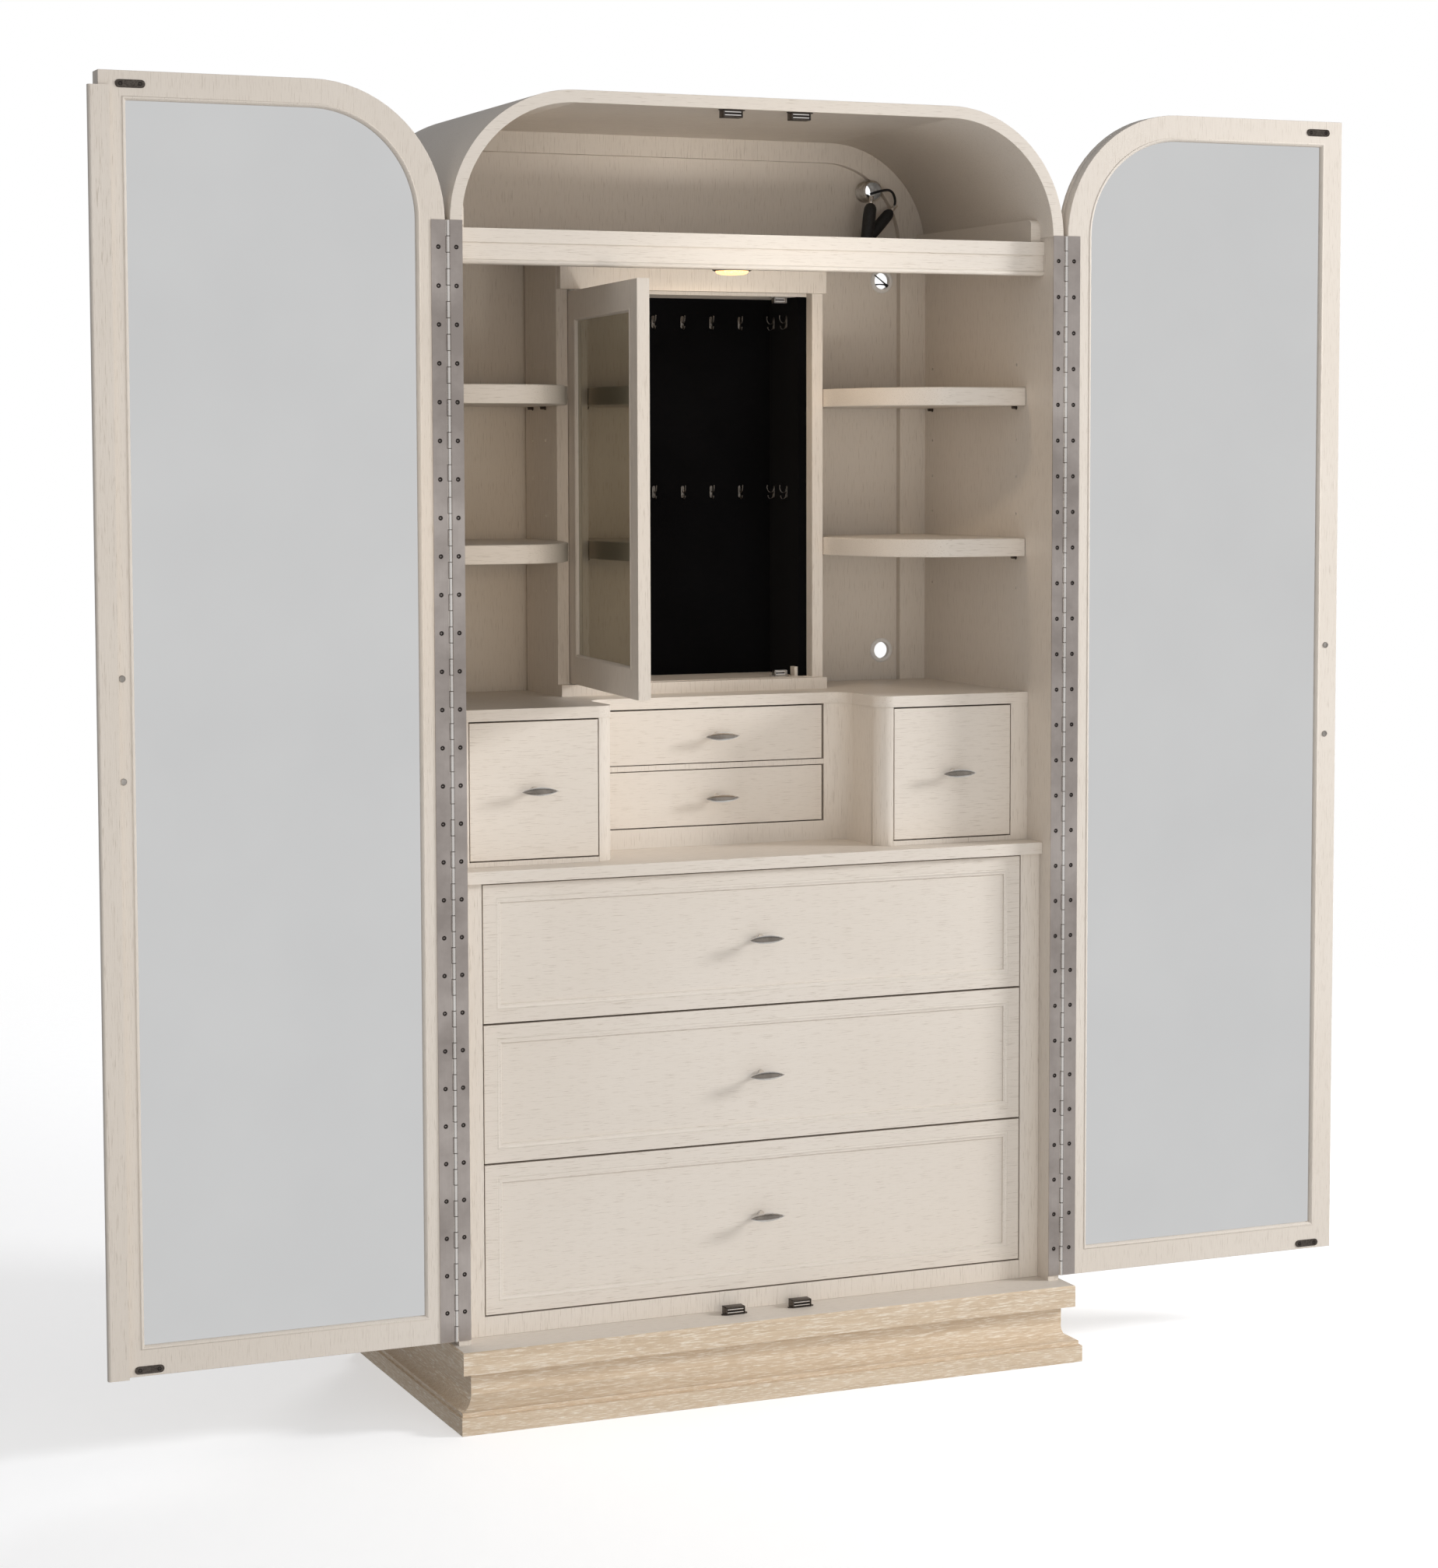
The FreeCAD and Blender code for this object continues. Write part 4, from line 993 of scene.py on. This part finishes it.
def light_leads():
    """Two black sleeves on the top shelf, with their wires and springs.  Places are in mm."""
    shelf_top = span("lead_sleeves")[0].z / MM
    supply = Vector((380, 215, shelf_top)), Vector((394, 219, 1989))
    lamp = Vector((372, 239, shelf_top)), Vector((447, 243, 1979))
    sleeves, springs = bmesh.new(), bmesh.new()
    for ends, radius in ((supply, 11.0), (lamp, 10.0)):
        add_sleeve(sleeves, *ends, radius)
        add_spring(springs, *ends)
    finish_piece(sleeves, "lead_sleeve_tubes", "carcass", [RUBBER, KNUCKLE_STEEL_PAINTED_HIGHLIGHT],
                 ["lead_sleeves"])
    for name, start, (foot, head), rise, replaced in (
            ("supply_lead", [(399, 259, 2005)], supply, 13, ["lead_wires"]),
            ("lamp_lead", [(414, 261, 2008), (415, 225, 2011), (440, 227, 2014)], lamp, 14, ())):
        above = head + (head - foot).normalized() * rise
        smooth_lead(name, start + [above, head], replaced)
    finish_piece(springs, "lead_springs", "carcass", [KNUCKLE_STEEL_PAINTED_HIGHLIGHT], (), 60)


CONDUIT_RIBS = 11
RIB = [(2.1, 0), (1.9, 0.25), (0, 0.45), (0, 0.75), (1.9, 0.95)]   # (depth in mm, share of a pitch)


def ribbed_conduit():
    """The metal conduit that goes out through the back."""
    low, high = span("supply_conduit")
    middle, outer, length = (low + high) / 2, (high.x - low.x) / 2, high.y - low.y
    bore = outer - 3 * MM
    profile = [(outer - depth * MM, length * (i + share) / CONDUIT_RIBS)
               for i in range(CONDUIT_RIBS) for depth, share in RIB]
    profile += [(outer - RIB[0][0] * MM, length), (bore, length), (bore, length / 2), (bore, 0.0),
                profile[0]]
    bm = bmesh.new()
    add_lathe(bm, profile, facing((middle.x, low.y, middle.z), Y), 0, 36)
    finish_piece(bm, "ribbed_conduit", "carcass", [CONDUIT_STEEL],
                 ["supply_conduit"], 30)


PANEL_INSET = 22 * MM      # of the back panel's screws from its edges
SCREW_TIPS = ((118, 2043), (196, 2004), (286, 1991), (265, 1955), (392, 1976))     # (x, z) in mm


def back_screws():
    """Screws round the back panel, painted ones in the rear frame, and stray tips inside."""
    low, high = span("back_panel")
    left, right = low.x + PANEL_INSET, high.x - PANEL_INSET
    places = [(x, low.z + 0.06 + 1.70 * i / 8) for x in (left, right) for i in range(9)]
    places += [(left + (right - left) * (i + 1) / 7, low.z + PANEL_INSET) for i in range(6)]
    outside, inside = bmesh.new(), bmesh.new()
    for x, z in places:
        add_screw(outside, facing((x, high.y, z), Y), 3.4 * MM, 0.5 * MM)
    finish_piece(outside, "back_panel_screws", "carcass", [SCREW_DARK], (), 40)
    frame_front = span("rear_frame")[0].y
    for x in (-0.478, 0.478):
        for z in (1.793, 1.534, 1.275):
            add_screw(inside, facing((x, frame_front, z), -Y), 2.6 * MM, 0.3 * MM)
    for x, z in in_mm(SCREW_TIPS):
        add_screw(inside, facing((x, low.y, z), -Y), 1.9 * MM, 0.5 * MM)
    finish_piece(inside, "rear_frame_screws", "carcass", [PAINTED["Z"]], (), 40)


piano_hinges()
drawer_pulls()
door_beads()
door_hardware()
magnetic_catches()
necklace_hooks()
jewel_door_bead()
drawer_beads()
puck_lamp()
cable_grommets()
shelf_pins()
light_leads()
ribbed_conduit()
back_screws()


# ---- stage ----
FLOOR_RADIUS = 16.0
FADE_START, FADE_END = 1.9, 5.0      # distances from the middle of the armoire
DOME_RADIUS = 40.0
CAMERA_AT = Vector((-2.2251, -5.2385, 1.5399))
CAMERA_YAW, CAMERA_PITCH, CAMERA_ROLL = 23.092, -4.301, -0.135      # degrees
LENS_SHIFT = (-0.00124, -0.04705)
FOCAL_SHARE = 2.1522       # focal length as a share of the picture's height
CARD, ROOM = (0.665, 0.66, 0.66), (0.29, 0.29, 0.295)     # light from in front, and from elsewhere


def stage_object(name, bm):
    """Mesh work that stands round the armoire, with an empty material to fill."""
    mesh = bpy.data.meshes.new(name)
    bm.to_mesh(mesh)
    bm.free()
    obj = new_object(name, mesh)
    mat, tree, shader = blank(name + "_paint")
    mesh.materials.append(mat)
    return obj, tree, shader


def floor():
    """A near-white floor that fades out.  It neither shows in the mirrors nor tints the wood."""
    bm = bmesh.new()
    bmesh.ops.create_circle(bm, cap_ends=True, segments=96, radius=FLOOR_RADIUS)
    obj, tree, shader = stage_object("floor", bm)
    obj.visible_glossy = False
    obj.visible_diffuse = False
    speckle = plain_noise(tree, 30.0)
    tone = ramp(tree, speckle, (0.3, (0.86, 0.86, 0.86)), (0.7, (0.88, 0.88, 0.88)))
    surface(tree, shader, Base_Color=tone, Roughness=0.9, Emission_Color=(1, 1, 1, 1),
            Emission_Strength=0.42)
    reach = add(tree, "VectorMath", {0: add(tree, "TexCoord").outputs["Object"]},
                {"operation": "LENGTH"}).outputs["Value"]
    fade = add(tree, "MapRange", {"Value": reach}, {"interpolation_type": "SMOOTHSTEP"},
               From_Min=FADE_START, From_Max=FADE_END)
    clear = add(tree, "BsdfTransparent")
    blend = add(tree, "MixShader", {0: fade.outputs[0], 1: shader.outputs[0], 2: clear.outputs[0]})
    tree.links.new(blend.outputs[0], tree.nodes["Material Output"].inputs["Surface"])


def backdrop():
    """A white dome behind everything.  It lights nothing and shows in no mirror."""
    bm = bmesh.new()
    bmesh.ops.create_uvsphere(bm, u_segments=48, v_segments=24, radius=DOME_RADIUS)
    obj, tree, shader = stage_object("backdrop", bm)
    glow = add(tree, "Emission", Color=(1, 1, 1, 1), Strength=1.0)
    tree.links.new(glow.outputs[0], tree.nodes["Material Output"].inputs["Surface"])
    tree.nodes.remove(shader)
    obj.visible_diffuse = False
    obj.visible_glossy = False
    obj.visible_transmission = False
    obj.visible_shadow = False


def world():
    """A bright card in front, for the mirrors to show, and a dimmer room round it."""
    sky = bpy.data.worlds.new("studio")
    bpy.context.scene.world = sky
    sky.use_nodes = True
    tree = sky.node_tree
    direction = add(tree, "SeparateXYZ", {"Vector": add(tree, "TexCoord").outputs["Generated"]})
    forward = maths(tree, "MULTIPLY", direction.outputs["Y"], -1.0)
    card = add(tree, "MapRange", {"Value": forward}, {"interpolation_type": "SMOOTHSTEP"},
               From_Min=0.42, From_Max=0.72)
    background = tree.nodes["Background"]
    tree.links.new(mixed(tree, card.outputs[0], ROOM, CARD), background.inputs["Color"])
    background.inputs["Strength"].default_value = 1.0


def light(name, kind, at, target, watts, colour):
    """A lamp that mirrors and metal don't show."""
    data = bpy.data.lights.new(name, kind)
    data.energy = watts
    data.color = colour
    lamp = new_object(name, data)
    lamp.location = at
    lamp.rotation_euler = (Vector(target) - Vector(at)).to_track_quat("-Z", "Y").to_euler()
    lamp.visible_glossy = False
    return data


def area_light(name, at, target, size, watts, colour):
    """A disc-shaped lamp, size metres across."""
    data = light(name, "AREA", at, target, watts, colour)
    data.shape = "DISK"
    data.size = size


def spot_light(name, at, target, cone, watts, colour):
    """A soft-edged spot.  cone is its full angle in degrees."""
    data = light(name, "SPOT", at, target, watts, colour)
    data.spot_size = math.radians(cone)
    data.spot_blend = 1.0
    data.shadow_soft_size = 0.25


def camera():
    """The photograph's view, as solved from the hinges' screws and the furniture's edges."""
    data = bpy.data.cameras.new("camera")
    data.sensor_width = 36.0
    data.lens = data.sensor_width * FOCAL_SHARE
    data.shift_x, data.shift_y = LENS_SHIFT
    obj = new_object("camera", data)
    turn = (Matrix.Rotation(math.radians(-CAMERA_YAW), 4, "Z")
            @ Matrix.Rotation(math.radians(90 + CAMERA_PITCH), 4, "X")
            @ Matrix.Rotation(math.radians(CAMERA_ROLL), 4, "Z"))
    obj.matrix_world = Matrix.Translation(CAMERA_AT) @ turn
    bpy.context.scene.camera = obj


COOL, SOFT, WARM = (0.97, 0.98, 1.0), (1.0, 0.94, 0.86), (1.0, 0.80, 0.58)
floor()
backdrop()
world()
area_light("key", (4.9, -2.4, 2.7), (0, 0, 1.1), 1.3, 205, COOL)
area_light("fill", (0.2, -4.6, 0.8), (0, 0, 1.3), 2.4, 38, SOFT)
spot_light("left_bay", (-1.25, -3.0, 1.5), (-0.36, 0.1, 1.42), 17, 62, WARM)
spot_light("under_shelf", (0.1, -3.4, 0.9), (0.03, 0.08, 1.86), 9, 270, SOFT)
area_light("back", (2.5, 4.5, 2.6), (0, 0, 1.1), 1.8, 85, COOL)
area_light("lamp_beam", (0, -0.071, 1.836), (0, -0.071, 1.0), 0.05, 0.6, WARM)
camera()
bpy.context.scene.view_settings.view_transform = "Standard"
